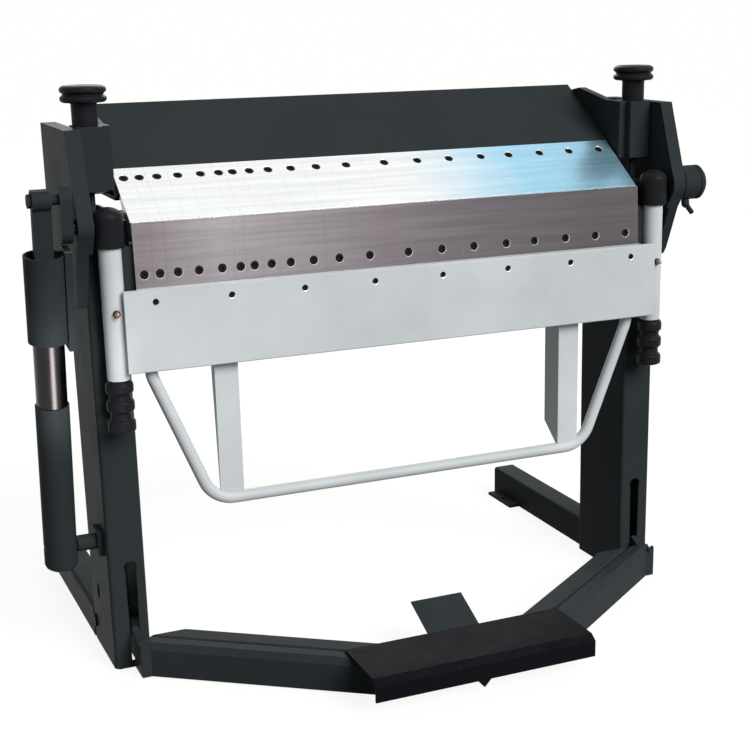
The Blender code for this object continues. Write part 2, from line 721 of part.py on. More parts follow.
def fingers(material, carrier):
    outline = finger_outline()
    for number, span in enumerate(finger_spans(), start=1):
        name = f"finger_{number:02d}"
        piece = add_piece(name, prism(outline, *span), material, carrier)
        mouths = [facet_point(x, FINGER_SCREW_FROM_TOP) for x in screw_places(span)]
        sink_screws(piece, name, mouths, FINGER_NORMAL, SCREW_HOLE, SCREW_HEAD, carrier)


def beam_outline():
    """The beam's box, counter-clockwise from its lower front corner."""
    seat = -FINGER_NORMAL * (FINGER_THICKNESS + GAP)
    low = FINGER_TOP + seat - FINGER_DIRECTION * FINGER_SLOPE * (1 - FINGER_HEEL_SHARE)
    high = FINGER_TOP + seat
    cover_line = (COVER_TOP - FINGER_TOP).normalized()
    cover_under = Vector((0, cover_line.z, -cover_line.y)) * (COVER_THICKNESS + GAP)
    back = COVER_TOP + cover_under
    back -= cover_line * (back.y - COVER_TOP.y + COVER_THICKNESS) / cover_line.y
    belly = low.y + BEAM_BELLY_DEPTH
    return [
        (low.y + BEAM_BELLY_DROP, low.z - BEAM_BELLY_DROP), (belly, low.z - BEAM_BELLY_DROP),
        (back.y, back.z - BEAM_BACK_DEPTH), (back.y, back.z), (high.y, high.z), (low.y, low.z),
    ]


def clamp_beam(material, carrier):
    outline = beam_outline()
    half = BEAM_HALF_WIDTH - GAP
    piece = add_piece("clamp_beam", prism(outline, -half, half), material, carrier)
    hollow = prism(inset(outline, BEAM_WALL), -half - OVERRUN, half + OVERRUN)
    cut(piece, "clamp_beam_hollow", hollow, carrier)
    return piece


def beam_cover(material, carrier):
    line = (COVER_TOP - FINGER_TOP).normalized()
    under = Vector((0, line.z, -line.y)) * COVER_THICKNESS
    start = FINGER_TOP + FINGER_DIRECTION * GAP
    start_under = start - FINGER_NORMAL * COVER_THICKNESS
    end_under = COVER_TOP + under
    end_under -= line * (end_under.y - COVER_TOP.y) / line.y
    outline = [(p.y, p.z) for p in (start, COVER_TOP, end_under, start_under)]
    return add_piece("beam_cover", prism(outline, -BEAM_HALF_WIDTH, BEAM_HALF_WIDTH), material, carrier)


def end_block(name, side, material, carrier):
    low, high = mirrored_pair(side, BLOCK_INNER_X, BLOCK_INNER_X + BLOCK_WIDTH)
    back = BLOCK_FRONT_Y + BLOCK_DEPTH
    solid = block((low, BLOCK_FRONT_Y, BLOCK_BOTTOM), (high, back, BLOCK_TOP))
    piece = add_piece(name, solid, material, carrier)
    outline = beam_outline()
    web_back = outline[3]
    web_front = BLOCK_FRONT_Y + END_WEB_SETBACK
    web = [
        (web_front, BLOCK_BOTTOM), outline[1], outline[2], web_back,
        (END_WEB_TOP_Y, BLOCK_TOP + END_WEB_TOP_RISE), (back, BLOCK_TOP), (web_front, BLOCK_TOP),
    ]
    low, high = mirrored_pair(side, BEAM_HALF_WIDTH + GAP, BLOCK_INNER_X + GAP)
    join(piece, name + "_web", prism(web, low, high), carrier)
    return piece


def top_knob(name, side, material, carrier):
    stem = TOP_KNOB_STEM_HEIGHT
    lip = TOP_KNOB_DISC / 4
    rim = TOP_KNOB_RADIUS
    profile = [
        (TOP_KNOB_STEM_RADIUS, GAP), (TOP_KNOB_STEM_RADIUS, stem), (rim - lip / 2, stem),
        (rim, stem + lip / 2), (rim, stem + lip), (rim - TOP_KNOB_GROOVE, stem + 2 * lip),
        (rim, stem + 3 * lip), (rim, stem + 4 * lip - lip / 2), (rim - lip / 2, stem + 4 * lip),
    ]
    foot = (side * TOP_KNOB_X, TOP_KNOB_Y, BLOCK_TOP)
    return add_piece(name, turned(profile, foot, (0, 0, 1)), material, carrier)


def pull_rod(name, side, material, carrier):
    """The rod inside a column, with the eye over the pedal's lever at its foot."""
    eye_bottom = LEVER_HIGH_Z + ROD_EYE_CLEARANCE
    profile = [
        (ROD_EYE_RADIUS, eye_bottom), (ROD_EYE_RADIUS, eye_bottom + ROD_EYE_HEIGHT),
        (ROD_RADIUS, eye_bottom + ROD_EYE_HEIGHT), (ROD_RADIUS, BLOCK_BOTTOM - GAP),
    ]
    solid = turned(profile, (side * TOP_KNOB_X, TOP_KNOB_Y, 0), (0, 0, 1), SMALL_SIDES)
    return add_piece(name, solid, material, carrier)


# Folding leaf.

def folding_blades(material, carrier):
    """The blades on the leaf, parted by kerfs from their edge down to a thin foot."""
    back = BLADE_FOOT_THICKNESS
    edge = back - BLADE_EDGE_THICKNESS
    outline = [
        (0, BLADE_BOTTOM), (back, BLADE_BOTTOM), (back, BED_HEIGHT), (edge, BED_HEIGHT),
        (0, BLADE_BOTTOM + BLADE_EDGE_THICKNESS),
    ]
    spans = finger_spans()
    piece = add_piece("folding_blades", prism(outline, spans[0][0], spans[-1][1]), material, carrier)
    kerfs = []
    for span in spans[1:]:
        low = (span[0] - KERF_WIDTH, -OVERRUN, BLADE_BOTTOM + BLADE_EDGE_THICKNESS)
        high = (span[0], back + OVERRUN, BED_HEIGHT + OVERRUN)
        kerfs.append(block(low, high))
    cut(piece, "folding_blades_kerfs", merged(kerfs), carrier)
    z = BED_HEIGHT - BLADE_SCREW_BELOW_EDGE
    lean = edge / (BLADE_HEIGHT - BLADE_EDGE_THICKNESS)
    face_y = lean * (z - BLADE_BOTTOM - BLADE_EDGE_THICKNESS)
    mouths = [Vector((x, face_y, z)) for span in spans for x in screw_places(span)]
    sink_screws(piece, "folding_blades", mouths, Vector((0, -1, 0)), SCREW_HOLE, SCREW_HEAD, carrier)
    return piece


def apron_screw_places():
    step = APRON_SCREW_SPAN / (APRON_SCREW_COUNT - 1)
    return [-APRON_SCREW_SPAN / 2 + step * k for k in range(APRON_SCREW_COUNT)]


def apron(material, carrier):
    front = APRON_FRONT_Y
    back = front + APRON_THICKNESS
    plate = block((-APRON_HALF_WIDTH, front, APRON_BOTTOM), (APRON_HALF_WIDTH, back, APRON_TOP))
    piece = add_piece("apron", plate, material, carrier)
    half = APRON_FLANGE_HALF_WIDTH
    inside = back - APRON_THICKNESS / 2
    top = block((-half, inside, APRON_TOP - APRON_THICKNESS), (half, APRON_TOP_FLANGE_BACK_Y, APRON_TOP))
    join(piece, "apron_top_flange", top, carrier)
    bottom_top = APRON_BOTTOM + APRON_BOTTOM_FLANGE
    bottom = block((-half, inside, APRON_BOTTOM), (half, APRON_BOTTOM_FLANGE_BACK_Y, bottom_top))
    join(piece, "apron_bottom_flange", bottom, carrier)
    z = APRON_TOP - APRON_SCREW_BELOW_TOP
    mouths = [Vector((x, front, z)) for x in apron_screw_places()]
    sink_screws(piece, "apron", mouths, Vector((0, -1, 0)), APRON_SCREW_HOLE, APRON_SCREW_HEAD, carrier)
    return piece


def leaf_bar(material, carrier):
    """The stiffening bar behind the blades, with the ledge that they stand on."""
    face = PIVOT_Y
    front = APRON_FRONT_Y + APRON_THICKNESS + GAP
    back = face + LEAF_BAR_THICKNESS
    ledge = min(BLADE_BOTTOM - GAP, APRON_TOP - APRON_THICKNESS - GAP)
    outline = [
        (front, LEAF_BAR_BOTTOM), (back, LEAF_BAR_BOTTOM), (back, LEAF_BAR_TOP),
        (face, LEAF_BAR_TOP), (face, ledge), (front, ledge),
    ]
    half = HEAD_X - TUBE_RADIUS - GAP
    piece = add_piece("leaf_bar", prism(outline, -half, half), material, carrier)
    for side in (-1, 1):
        place = (side * HEAD_X, HEAD_Y)
        low = (*place, LEAF_BAR_BOTTOM - OVERRUN)
        relief = rod(low, (*place, LEAF_BAR_TOP + OVERRUN), TUBE_RADIUS + GAP)
        cut(piece, f"leaf_bar_relief_{side}", relief, carrier)
    return piece


def lift_tube(name, side, material, carrier):
    place = (side * HEAD_X, HEAD_Y)
    solid = pipe((*place, TUBE_BOTTOM), (*place, HEAD_BOTTOM - GAP), TUBE_RADIUS, TUBE_BORE)
    return add_piece(name, solid, material, carrier)


def handle_bracket(name, side, material, carrier):
    """A folded hanger between the apron and the bail handle, open at the back."""
    top = APRON_BOTTOM - GAP
    front = BRACKET_FRONT_Y
    inner = BRACKET_INNER_X
    outer = BRACKET_INNER_X + BRACKET_WIDTH
    web_bottom = HANDLE_BOTTOM_Z + HANDLE_RADIUS / 2
    flank = [
        (front, web_bottom), (front + BRACKET_WALL, web_bottom),
        (front + BRACKET_DEPTH, web_bottom + BRACKET_SLANT), (front + BRACKET_DEPTH, top), (front, top),
    ]
    piece = add_piece(name, prism(flank, *mirrored_pair(side, inner, outer)), material, carrier)
    low, high = mirrored_pair(side, inner + BRACKET_WALL, outer - BRACKET_WALL)
    hollow_front = front + BRACKET_WALL
    hollow_back = front + BRACKET_DEPTH + OVERRUN
    hollow = block((low, hollow_front, web_bottom - OVERRUN), (high, hollow_back, top + OVERRUN))
    cut(piece, name + "_hollow", hollow, carrier)
    low, high = mirrored_pair(side, outer - BRACKET_WALL - OVERRUN / 4, outer + OVERRUN)
    taper = [
        (hollow_front, web_bottom - OVERRUN), (hollow_back, web_bottom - OVERRUN),
        (hollow_back, top + OVERRUN), (hollow_front + BRACKET_LIP, top + OVERRUN),
    ]
    cut(piece, name + "_taper", prism(taper, low, high), carrier)
    cut(piece, name + "_seat", swept(handle_path(), HANDLE_RADIUS + GAP, HANDLE_SIDES), carrier)
    return piece


def handle_path():
    """The bail's centre line: down one leg, round the bend and across, to the other leg."""
    top = Vector((HANDLE_TOP_X, HANDLE_Y, APRON_BOTTOM - GAP))
    neck = top - Vector((0, 0, HANDLE_RADIUS))
    corner = Vector((HANDLE_CORNER_X, HANDLE_Y, HANDLE_BOTTOM_Z))
    leg = (neck - corner).normalized()
    bar = Vector((-1, 0, 0))
    half_turn = (math.pi - leg.angle(bar)) / 2
    reach = HANDLE_BEND * math.tan(half_turn)
    start = corner + leg * reach
    end = corner + bar * reach
    middle = corner + (leg + bar).normalized() * HANDLE_BEND / math.cos(half_turn)
    first = (start - middle).normalized()
    last = (end - middle).normalized()
    bend = []
    for k in range(HANDLE_BEND_STEPS + 1):
        bend.append(middle + first.slerp(last, k / HANDLE_BEND_STEPS) * HANDLE_BEND)
    right = [top, neck, *bend]
    left = [Vector((-p.x, p.y, p.z)) for p in reversed(right)]
    return right + left


def handle_bar(material, carrier):
    return add_piece("handle_bar", swept(handle_path(), HANDLE_RADIUS, HANDLE_SIDES), material, carrier)


# Pivot heads, their spindles and the height knobs.

def pivot_head(name, side, material, carrier):
    foot = (side * HEAD_X, HEAD_Y, 0)
    dome = []
    for k in range(1, 4):
        angle = math.radians(90 * k / 4)
        dome.append((HEAD_RADIUS * math.cos(angle), HEAD_SHOULDER + HEAD_DOME * math.sin(angle)))
    crown = (0, HEAD_SHOULDER + HEAD_DOME)
    profile = [(HEAD_RADIUS, HEAD_BOTTOM), (HEAD_RADIUS, HEAD_SHOULDER), *dome, crown]
    piece = add_piece(name, turned(profile, foot, (0, 0, 1)), material, carrier)
    reach = RIGHT_END_X - COLLAR_CAP_LENGTH if side > 0 else CRANK_PLATE_INNER_X - GAP
    start = (side * HEAD_X, PIVOT_Y, BED_HEIGHT)
    end = (side * reach, PIVOT_Y, BED_HEIGHT)
    join(piece, name + "_shaft", rod(start, end, PIVOT_SHAFT_RADIUS), carrier)
    return piece


def spindle(name, side, material, carrier):
    """The screw that hangs from a pivot head inside its lifting tube."""
    place = (side * HEAD_X, HEAD_Y)
    solid = rod((*place, SPINDLE_BOTTOM), (*place, HEAD_BOTTOM - GAP), SPINDLE_RADIUS)
    return add_piece(name, solid, material, carrier)


def height_knob(name, side, material, carrier):
    """A grip with three lips and two waists, bored for the spindle's lower end."""
    height = LOW_KNOB_TOP - LOW_KNOB_BOTTOM
    shares = ((0.78, 0), (1, 0.05), (1, 0.22), (0.77, 0.30), (0.77, 0.38), (1, 0.46), (1, 0.60),
              (0.80, 0.67), (0.80, 0.74), (1, 0.81), (1, 0.95), (0.86, 1))
    profile = [(LOW_KNOB_RADIUS * r, height * h) for r, h in shares]
    foot = (side * HEAD_X, HEAD_Y, LOW_KNOB_BOTTOM)
    piece = add_piece(name, turned(profile, foot, (0, 0, 1)), material, carrier)
    low = (*foot[:2], SPINDLE_BOTTOM - LEAF_TRAVEL - GAP)
    bore = rod(low, (*foot[:2], LOW_KNOB_TOP + OVERRUN), SPINDLE_RADIUS + GAP)
    cut(piece, name + "_bore", bore, carrier)
    return piece


def stop_collar(material, carrier):
    start = (CHEEK_OUTER_X + GAP, PIVOT_Y, BED_HEIGHT)
    profile = [
        (COLLAR_RADIUS, 0), (COLLAR_RADIUS, COLLAR_LENGTH - COLLAR_CHAMFER),
        (COLLAR_RADIUS - COLLAR_CHAMFER, COLLAR_LENGTH), (COLLAR_CAP_RADIUS, COLLAR_LENGTH),
        (COLLAR_CAP_RADIUS, COLLAR_LENGTH + COLLAR_CAP_LENGTH),
    ]
    piece = add_piece("stop_collar", turned(profile, start, (1, 0, 0)), material, carrier)
    low = (start[0] - OVERRUN, PIVOT_Y, BED_HEIGHT)
    high = (start[0] + COLLAR_LENGTH + GAP, PIVOT_Y, BED_HEIGHT)
    bore = rod(low, high, PIVOT_SHAFT_RADIUS + GAP)
    cut(piece, "stop_collar_bore", bore, carrier)
    return piece


def lever_axis():
    """Foot and direction of the clamping lever's screw, which stands out of the collar's rim."""
    direction = Vector((0, math.cos(LEVER_ANGLE), math.sin(LEVER_ANGLE)))
    lever_x = CHEEK_OUTER_X + LEVER_FROM_CHEEK
    foot = Vector((lever_x, PIVOT_Y, BED_HEIGHT)) + direction * (COLLAR_RADIUS + GAP)
    return foot, direction


def collar_lever(material, carrier):
    foot, direction = lever_axis()
    profile = [
        (LEVER_HUB_RADIUS, 0), (LEVER_HUB_RADIUS, LEVER_HUB_LENGTH - LEVER_ARM_RADIUS),
        (LEVER_HUB_RADIUS / 2, LEVER_HUB_LENGTH),
    ]
    piece = add_piece("collar_lever", turned(profile, foot, direction, SMALL_SIDES), material, carrier)
    start = foot + direction * LEVER_HUB_LENGTH / 2
    across = Vector((0, math.sin(LEVER_ANGLE), -math.cos(LEVER_ANGLE)))
    lean = (direction + across).normalized()
    arm = rod(start, start + lean * LEVER_ARM_LENGTH, LEVER_ARM_RADIUS, SMALL_SIDES)
    join(piece, "collar_lever_arm", arm, carrier)
    return piece


# Counterbalance strut.

def along_strut(distance):
    """A point on the strut's line, measured up from its lower pivot."""
    return STRUT_BASE + STRUT_LINE * distance


def crank(material, carrier):
    inner = CRANK_PLATE_INNER_X
    outer = inner + CRANK_PLATE_THICKNESS
    hub = (PIVOT_Y, BED_HEIGHT)
    pin = (CRANK_PIN.y, CRANK_PIN.z)
    plate = capsule(hub, pin, CRANK_HUB_RADIUS, CRANK_END_RADIUS, -outer, -inner)
    piece = add_piece("crank", plate, material, carrier)
    link_outer = STRUT_X + LINK_WIDTH / 2
    head_end = link_outer + GAP + CRANK_HEAD_LENGTH
    stub = rod((-outer + OVERRUN, *pin), (-link_outer - GAP - OVERRUN / 4, *pin), CRANK_PIN_RADIUS)
    join(piece, "crank_pin", stub, carrier)
    head = rod((-link_outer - GAP, *pin), (-head_end, *pin), CRANK_HEAD_RADIUS, 6)
    join(piece, "crank_pin_head", head, carrier)
    return piece


def strut_link(material, carrier):
    low = CRANK_PIN - STRUT_LINE * LINK_LENGTH
    high = CRANK_PIN + STRUT_LINE * LINK_TOP
    across = Vector((0, STRUT_LINE.z, -STRUT_LINE.y)) * LINK_DEPTH / 2
    outline = [(p.y, p.z) for p in (low - across, low + across, high + across, high - across)]
    solid = prism(outline, -STRUT_X - LINK_WIDTH / 2, -STRUT_X + LINK_WIDTH / 2)
    piece = add_piece("strut_link", solid, material, carrier)
    head = (CRANK_PIN.y, CRANK_PIN.z)
    low_x, high_x = -STRUT_X - LINK_WIDTH / 2, -STRUT_X + LINK_WIDTH / 2
    eye = prism(arc(head, LINK_TOP, 0, 345, 23), low_x, high_x)
    join(piece, "strut_link_eye", eye, carrier)
    bore = rod((low_x - OVERRUN, *head), (high_x + OVERRUN, *head), CRANK_PIN_RADIUS + GAP)
    cut(piece, "strut_link_bore", bore, carrier)
    return piece


def strut_sleeve(material, carrier):
    top = CRANK_PIN_REACH - SLEEVE_TOP_BELOW_PIN
    bottom = top - SLEEVE_LENGTH
    solid = rod(along_strut(bottom), along_strut(top), SLEEVE_RADIUS)
    piece = add_piece("strut_sleeve", solid, material, carrier)
    across = Vector((0, STRUT_LINE.z, -STRUT_LINE.y)) * SLEEVE_PLATE_WIDTH / 2
    low = along_strut(bottom - SLEEVE_COLLAR)
    high = along_strut(top + SLEEVE_COLLAR / 2)
    outline = [(p.y, p.z) for p in (low - across, low + across, high + across, high - across)]
    plate_outer = STRUT_X - SLEEVE_RADIUS + SLEEVE_WALL
    plate_inner = plate_outer - SLEEVE_PLATE_THICKNESS
    join(piece, "strut_sleeve_plate", prism(outline, -plate_outer, -plate_inner), carrier)
    step = along_strut(bottom + SLEEVE_COLLAR)
    wide_bore = rod(step, along_strut(top + SLEEVE_COLLAR), SLEEVE_RADIUS - SLEEVE_WALL)
    cut(piece, "strut_sleeve_bore", wide_bore, carrier)
    low = along_strut(bottom - 2 * SLEEVE_COLLAR)
    narrow_bore = rod(low, step + STRUT_LINE * OVERRUN, INNER_TUBE_RADIUS + GAP)
    cut(piece, "strut_sleeve_collar", narrow_bore, carrier)
    return piece


def strut_lower_tube(material, carrier):
    dome = []
    for k in range(1, 4):
        angle = math.radians(90 * k / 4)
        dome.append((LOWER_TUBE_RADIUS * math.sin(angle), LOWER_TUBE_RADIUS * (1 - math.cos(angle)) / 2))
    radius = LOWER_TUBE_RADIUS
    profile = [(0, 0), *dome, (radius, radius / 2), (radius, LOWER_TUBE_TAIL + LOWER_TUBE_TOP)]
    foot = along_strut(-LOWER_TUBE_TAIL)
    piece = add_piece("strut_lower_tube", turned(profile, foot, STRUT_LINE), material, carrier)
    reach = LOWER_TUBE_RADIUS + OVERRUN
    centre = (STRUT_BASE_Y, STRUT_BASE_Z)
    bore = rod((-STRUT_X - reach, *centre), (-STRUT_X + reach, *centre), STRUT_PIN_RADIUS + GAP)
    cut(piece, "strut_lower_tube_bore", bore, carrier)
    return piece


def strut_inner_tube(material, carrier):
    top = CRANK_PIN_REACH - SLEEVE_TOP_BELOW_PIN - SLEEVE_LENGTH + INNER_TUBE_ENTRY
    solid = rod(along_strut(LOWER_TUBE_TOP + GAP), along_strut(top), INNER_TUBE_RADIUS)
    return add_piece("strut_inner_tube", solid, material, carrier)


def strut_bracket(material, carrier):
    """The plate on the left column and the pin that the strut's foot turns on."""
    half = STRUT_FOOT_SIZE / 2
    face = COLUMN_OUTER_X + GAP
    low = (-face - STRUT_FOOT_THICKNESS, STRUT_BASE_Y - half, STRUT_BASE_Z - half)
    high = (-face, STRUT_BASE_Y + half, STRUT_BASE_Z + half)
    piece = add_piece("strut_bracket", block(low, high), material, carrier)
    centre = (STRUT_BASE_Y, STRUT_BASE_Z)
    near = STRUT_X - LOWER_TUBE_RADIUS - GAP
    far = STRUT_X + LOWER_TUBE_RADIUS - STRUT_PIN_RADIUS / 4
    boss = rod((-face - STRUT_FOOT_THICKNESS / 2, *centre), (-near, *centre), STRUT_BOSS_RADIUS)
    join(piece, "strut_bracket_boss", boss, carrier)
    pin = rod((-near + OVERRUN, *centre), (-far, *centre), STRUT_PIN_RADIUS)
    join(piece, "strut_bracket_pin", pin, carrier)
    return piece


# Foot pedal.

def arm_plan(side):
    """The arm seen from above, from the column's foot to under the tread."""
    fall = math.hypot(1, ARM_SLOPE)
    inner_shift = ARM_WIDTH * fall / ARM_SLOPE
    inner_end_x = ARM_END_X - inner_shift
    back = COLUMN_FRONT_Y - ARM_END_CLEARANCE
    inner_back_x = inner_end_x + (back - ARM_END_Y) / ARM_SLOPE
    outer_x = ARM_OUTER_X - ARM_CUT[side]
    fold_x = ARM_FOLD_X - ARM_CUT[side]
    corner_y = ARM_CORNER_Y - ARM_CUT[side] * ARM_SLOPE
    plan = [
        (outer_x, back), (outer_x, corner_y), (fold_x, corner_y),
        (ARM_END_X, ARM_END_Y), (inner_end_x, ARM_END_Y), (inner_back_x, back),
    ]
    return [(side * x, y) for x, y in plan]


def pedal_arm(name, side, material, carrier):
    plan = arm_plan(side)
    piece = add_piece(name, prism(plan, ARM_BOTTOM, ARM_TOP, "Z"), material, carrier)

    drop_y = PEDAL_PIVOT_Y - COLUMN_FRONT_Y
    top_rise = ARM_TOP - PEDAL_PIVOT_Z
    swung = (drop_y + top_rise * math.sin(PEDAL_LIFT_ANGLE)) / math.cos(PEDAL_LIFT_ANGLE)
    top_y = PEDAL_PIVOT_Y - swung - ARM_END_CLEARANCE
    behind = COLUMN_FRONT_Y + OVERRUN
    heel = [
        (COLUMN_FRONT_Y - ARM_END_CLEARANCE, ARM_BOTTOM), (behind, ARM_BOTTOM),
        (behind, ARM_TOP + OVERRUN), (top_y - OVERRUN / 4, ARM_TOP + OVERRUN), (top_y, ARM_TOP),
    ]
    low, high = mirrored_pair(side, plan[5][0] * side - ARM_WIDTH, ARM_OUTER_X + OVERRUN)
    cut(piece, name + "_heel", prism(heel, low, high), carrier)

    across = Vector((ARM_SLOPE, -1)).normalized()
    along = Vector((-1, -ARM_SLOPE)).normalized()
    corner = Vector((ARM_FOLD_X, ARM_CORNER_Y))
    start = corner - along * ARM_WIDTH * 2
    end = corner + along * (ARM_WIDTH * 8)
    chamfer = [
        (-ARM_CHAMFER, ARM_TOP), (OVERRUN, ARM_TOP - ARM_CHAMFER - OVERRUN),
        (OVERRUN, ARM_TOP + OVERRUN), (-ARM_CHAMFER, ARM_TOP + OVERRUN),
    ]
    cut(piece, name + "_chamfer", bar_between(start, end, across, chamfer, side), carrier)
    half = ARM_GROOVE_WIDTH / 2
    groove = [
        (-ARM_GROOVE_FROM_OUTER - half, ARM_TOP + OVERRUN), (-ARM_GROOVE_FROM_OUTER - half, ARM_TOP),
        (-ARM_GROOVE_FROM_OUTER, ARM_TOP - ARM_GROOVE_DEPTH), (-ARM_GROOVE_FROM_OUTER + half, ARM_TOP),
        (-ARM_GROOVE_FROM_OUTER + half, ARM_TOP + OVERRUN),
    ]
    cut(piece, name + "_groove", bar_between(start, end, across, groove, side), carrier)

    lever = [
        (LEVER_REACH_Y, LEVER_LOW_Z), (PEDAL_PIVOT_Y, PEDAL_PIVOT_Z - LEVER_BOSS_RADIUS),
        *arc((PEDAL_PIVOT_Y, PEDAL_PIVOT_Z), LEVER_BOSS_RADIUS, -75, 75, 6),
        (PEDAL_PIVOT_Y, PEDAL_PIVOT_Z + LEVER_BOSS_RADIUS), (TOP_KNOB_Y, LEVER_HIGH_Z),
        (COLUMN_FRONT_Y + COLUMN_WALL, LEVER_HIGH_Z), (COLUMN_FRONT_Y, LEVER_HIGH_Z + LEVER_BRACE_RISE),
        (LEVER_REACH_Y, LEVER_HIGH_Z),
    ]
    middle = side * SLOT_X[side]
    lever_solid = prism(lever, middle - LEVER_THICKNESS / 2, middle + LEVER_THICKNESS / 2)
    join(piece, name + "_lever", lever_solid, carrier)
    ends = [(middle + k * LEVER_THICKNESS, PEDAL_PIVOT_Y, PEDAL_PIVOT_Z) for k in (-1, 1)]
    cut(piece, name + "_lever_bore", rod(ends[0], ends[1], PEDAL_PIN_RADIUS + GAP), carrier)
    return piece


def bar_between(start, end, across, section, side):
    """A straight bar from start to end in plan, with a section of (outwards, z) points."""
    solid = bmesh.new()
    rings = []
    for place in (start, end):
        ring = []
        for outwards, z in section:
            point = place + across * outwards
            ring.append(solid.verts.new((side * point.x, point.y, z)))
        rings.append(ring)
    count = len(section)
    for k in range(count):
        m = (k + 1) % count
        solid.faces.new((rings[0][k], rings[0][m], rings[1][m], rings[1][k]))
    for ring in rings:
        solid.faces.new(ring)
    bmesh.ops.recalc_face_normals(solid, faces=solid.faces)
    return solid


def pedal_pin(name, side, material, carrier):
    foot = (side * (COLUMN_INNER_X - GAP), PEDAL_PIVOT_Y, PEDAL_PIVOT_Z)
    shank = COLUMN_WIDTH + 2 * GAP
    profile = [
        (PEDAL_PIN_RADIUS, 0), (PEDAL_PIN_RADIUS, shank), (PEDAL_PIN_HEAD, shank),
        (PEDAL_PIN_HEAD, shank + PEDAL_PIN_HEAD_LENGTH),
    ]
    return add_piece(name, turned(profile, foot, (side, 0, 0), SMALL_SIDES), material, carrier)


def tread(material, carrier):
    thick = TREAD_THICKNESS
    fold_y = TREAD_FRONT_Y + TREAD_NOSE_DEPTH
    outline = [
        (TREAD_BACK_Y, TREAD_BOTTOM), (TREAD_BACK_Y, TREAD_TOP), (fold_y, TREAD_TOP),
        (TREAD_FRONT_Y, TREAD_TOP - TREAD_NOSE_DROP), (TREAD_FRONT_Y, TREAD_LIP_BOTTOM),
        (TREAD_FRONT_Y + thick, TREAD_LIP_BOTTOM),
        (TREAD_FRONT_Y + thick, TREAD_BOTTOM - TREAD_NOSE_DROP), (fold_y, TREAD_BOTTOM),
    ]
    half = TREAD_HALF_WIDTH
    piece = add_piece("tread", prism(outline, -half, half), material, carrier)
    tip = [
        (TREAD_TIP_X - TREAD_TIP_WIDTH / 2, TREAD_LIP_BOTTOM + OVERRUN),
        (TREAD_TIP_X, TREAD_LIP_BOTTOM - TREAD_TIP_DROP),
        (TREAD_TIP_X + TREAD_TIP_WIDTH / 2, TREAD_LIP_BOTTOM + OVERRUN),
    ]
    join(piece, "tread_tip", prism(tip, TREAD_FRONT_Y, TREAD_FRONT_Y + thick, "Y"), carrier)
    return piece


def release_tab(material, carrier):
    start = Vector((TREAD_BACK_Y, TREAD_BOTTOM + TAB_THICKNESS / 2))
    rise = Vector((math.cos(TAB_ANGLE), math.sin(TAB_ANGLE)))
    up = Vector((-rise.y, rise.x)) * TAB_THICKNESS / 2
    end = start + rise * TAB_LENGTH
    outline = [tuple(start - up), tuple(end - up), tuple(end + up), tuple(start + up)]
    shift = max(0, TREAD_BACK_Y + GAP - min(p[0] for p in outline))
    outline = [(y + shift, z) for y, z in outline]
    return add_piece("release_tab", prism(outline, -TAB_HALF_WIDTH, TAB_HALF_WIDTH), material, carrier)


def build():
    clear_scene()
    dark = paint("dark_paint", (0.030, 0.040, 0.044), 0.45, 0)
    black = paint("black_plastic", (0.012, 0.013, 0.015), 0.40, 0)
    pedal_black = paint("pedal_paint", (0.018, 0.018, 0.022), 0.55, 0)
    white = paint("white_paint", (0.58, 0.63, 0.65), 0.40, 0)
    ground = paint("ground_steel", (0.62, 0.64, 0.66), 0.28, 1)
    blade = paint("blade_steel", (0.30, 0.26, 0.28), 0.35, 1)
    steel = paint("bright_steel", (0.50, 0.50, 0.50), 0.35, 1)
    bronze = paint("tube_steel", (0.22, 0.17, 0.15), 0.30, 1)

    machine = Carrier("machine_frame", (0, 0, 0))
    pivot = Carrier("pivot_axis", PIVOT, machine)
    beam = Carrier("clamp_beam_axis", (0, TOP_KNOB_Y, BLOCK_BOTTOM), machine)
    pedal = Carrier("pedal_axis", (0, PEDAL_PIVOT_Y, PEDAL_PIVOT_Z), machine)
    tab = Carrier("release_tab_axis", (0, TREAD_BACK_Y, TREAD_BOTTOM), pedal)
    collar = Carrier("stop_collar_axis", PIVOT, pivot)
    lever = Carrier("collar_lever_axis", lever_axis()[0], collar)
    strut = Carrier("strut_axis", STRUT_BASE, machine)
    link = Carrier("link_axis", CRANK_PIN, pivot)

    for side, word in ((-1, "left"), (1, "right")):
        column(f"column_{word}", side, dark, machine)
        cheek(f"cheek_{word}", side, dark, machine)
        rear_foot(f"rear_foot_{word}", side, dark, machine)
        end_block(f"end_block_{word}", side, dark, beam)
        pivot_head(f"pivot_head_{word}", side, black, pivot)
        pedal_arm(f"pedal_arm_{word}", side, dark, pedal)
        pedal_pin(f"pedal_pin_{word}", side, dark, machine)
        pull_rod(f"pull_rod_{word}", side, dark, beam)
        spindle(f"spindle_{word}", side, steel, pivot)
        lift_tube(f"lift_tube_{word}", side, white, pivot)
        handle_bracket(f"handle_bracket_{word}", side, white, pivot)
        knob_axis = Carrier(f"top_knob_{word}_axis", (side * TOP_KNOB_X, TOP_KNOB_Y, BLOCK_TOP), beam)
        top_knob(f"top_knob_{word}", side, black, knob_axis)
        knob_axis = Carrier(f"height_knob_{word}_axis", (side * HEAD_X, HEAD_Y, LOW_KNOB_TOP), pivot)
        height_knob(f"height_knob_{word}", side, black, knob_axis)

    bed_beam(dark, machine)
    bed_nose(steel, machine)
    strut_bracket(dark, machine)

    clamp_beam(dark, beam)
    beam_cover(dark, beam)
    fingers(ground, beam)

    crank(dark, pivot)
    apron(white, pivot)
    leaf_bar(dark, pivot)
    folding_blades(blade, pivot)
    handle_bar(white, pivot)

    stop_collar(dark, collar)
    collar_lever(dark, lever)

    strut_lower_tube(dark, strut)
    strut_inner_tube(bronze, strut)
    strut_sleeve(dark, strut)
    strut_link(dark, link)

    tread(pedal_black, pedal)
    release_tab(pedal_black, tab)


build()
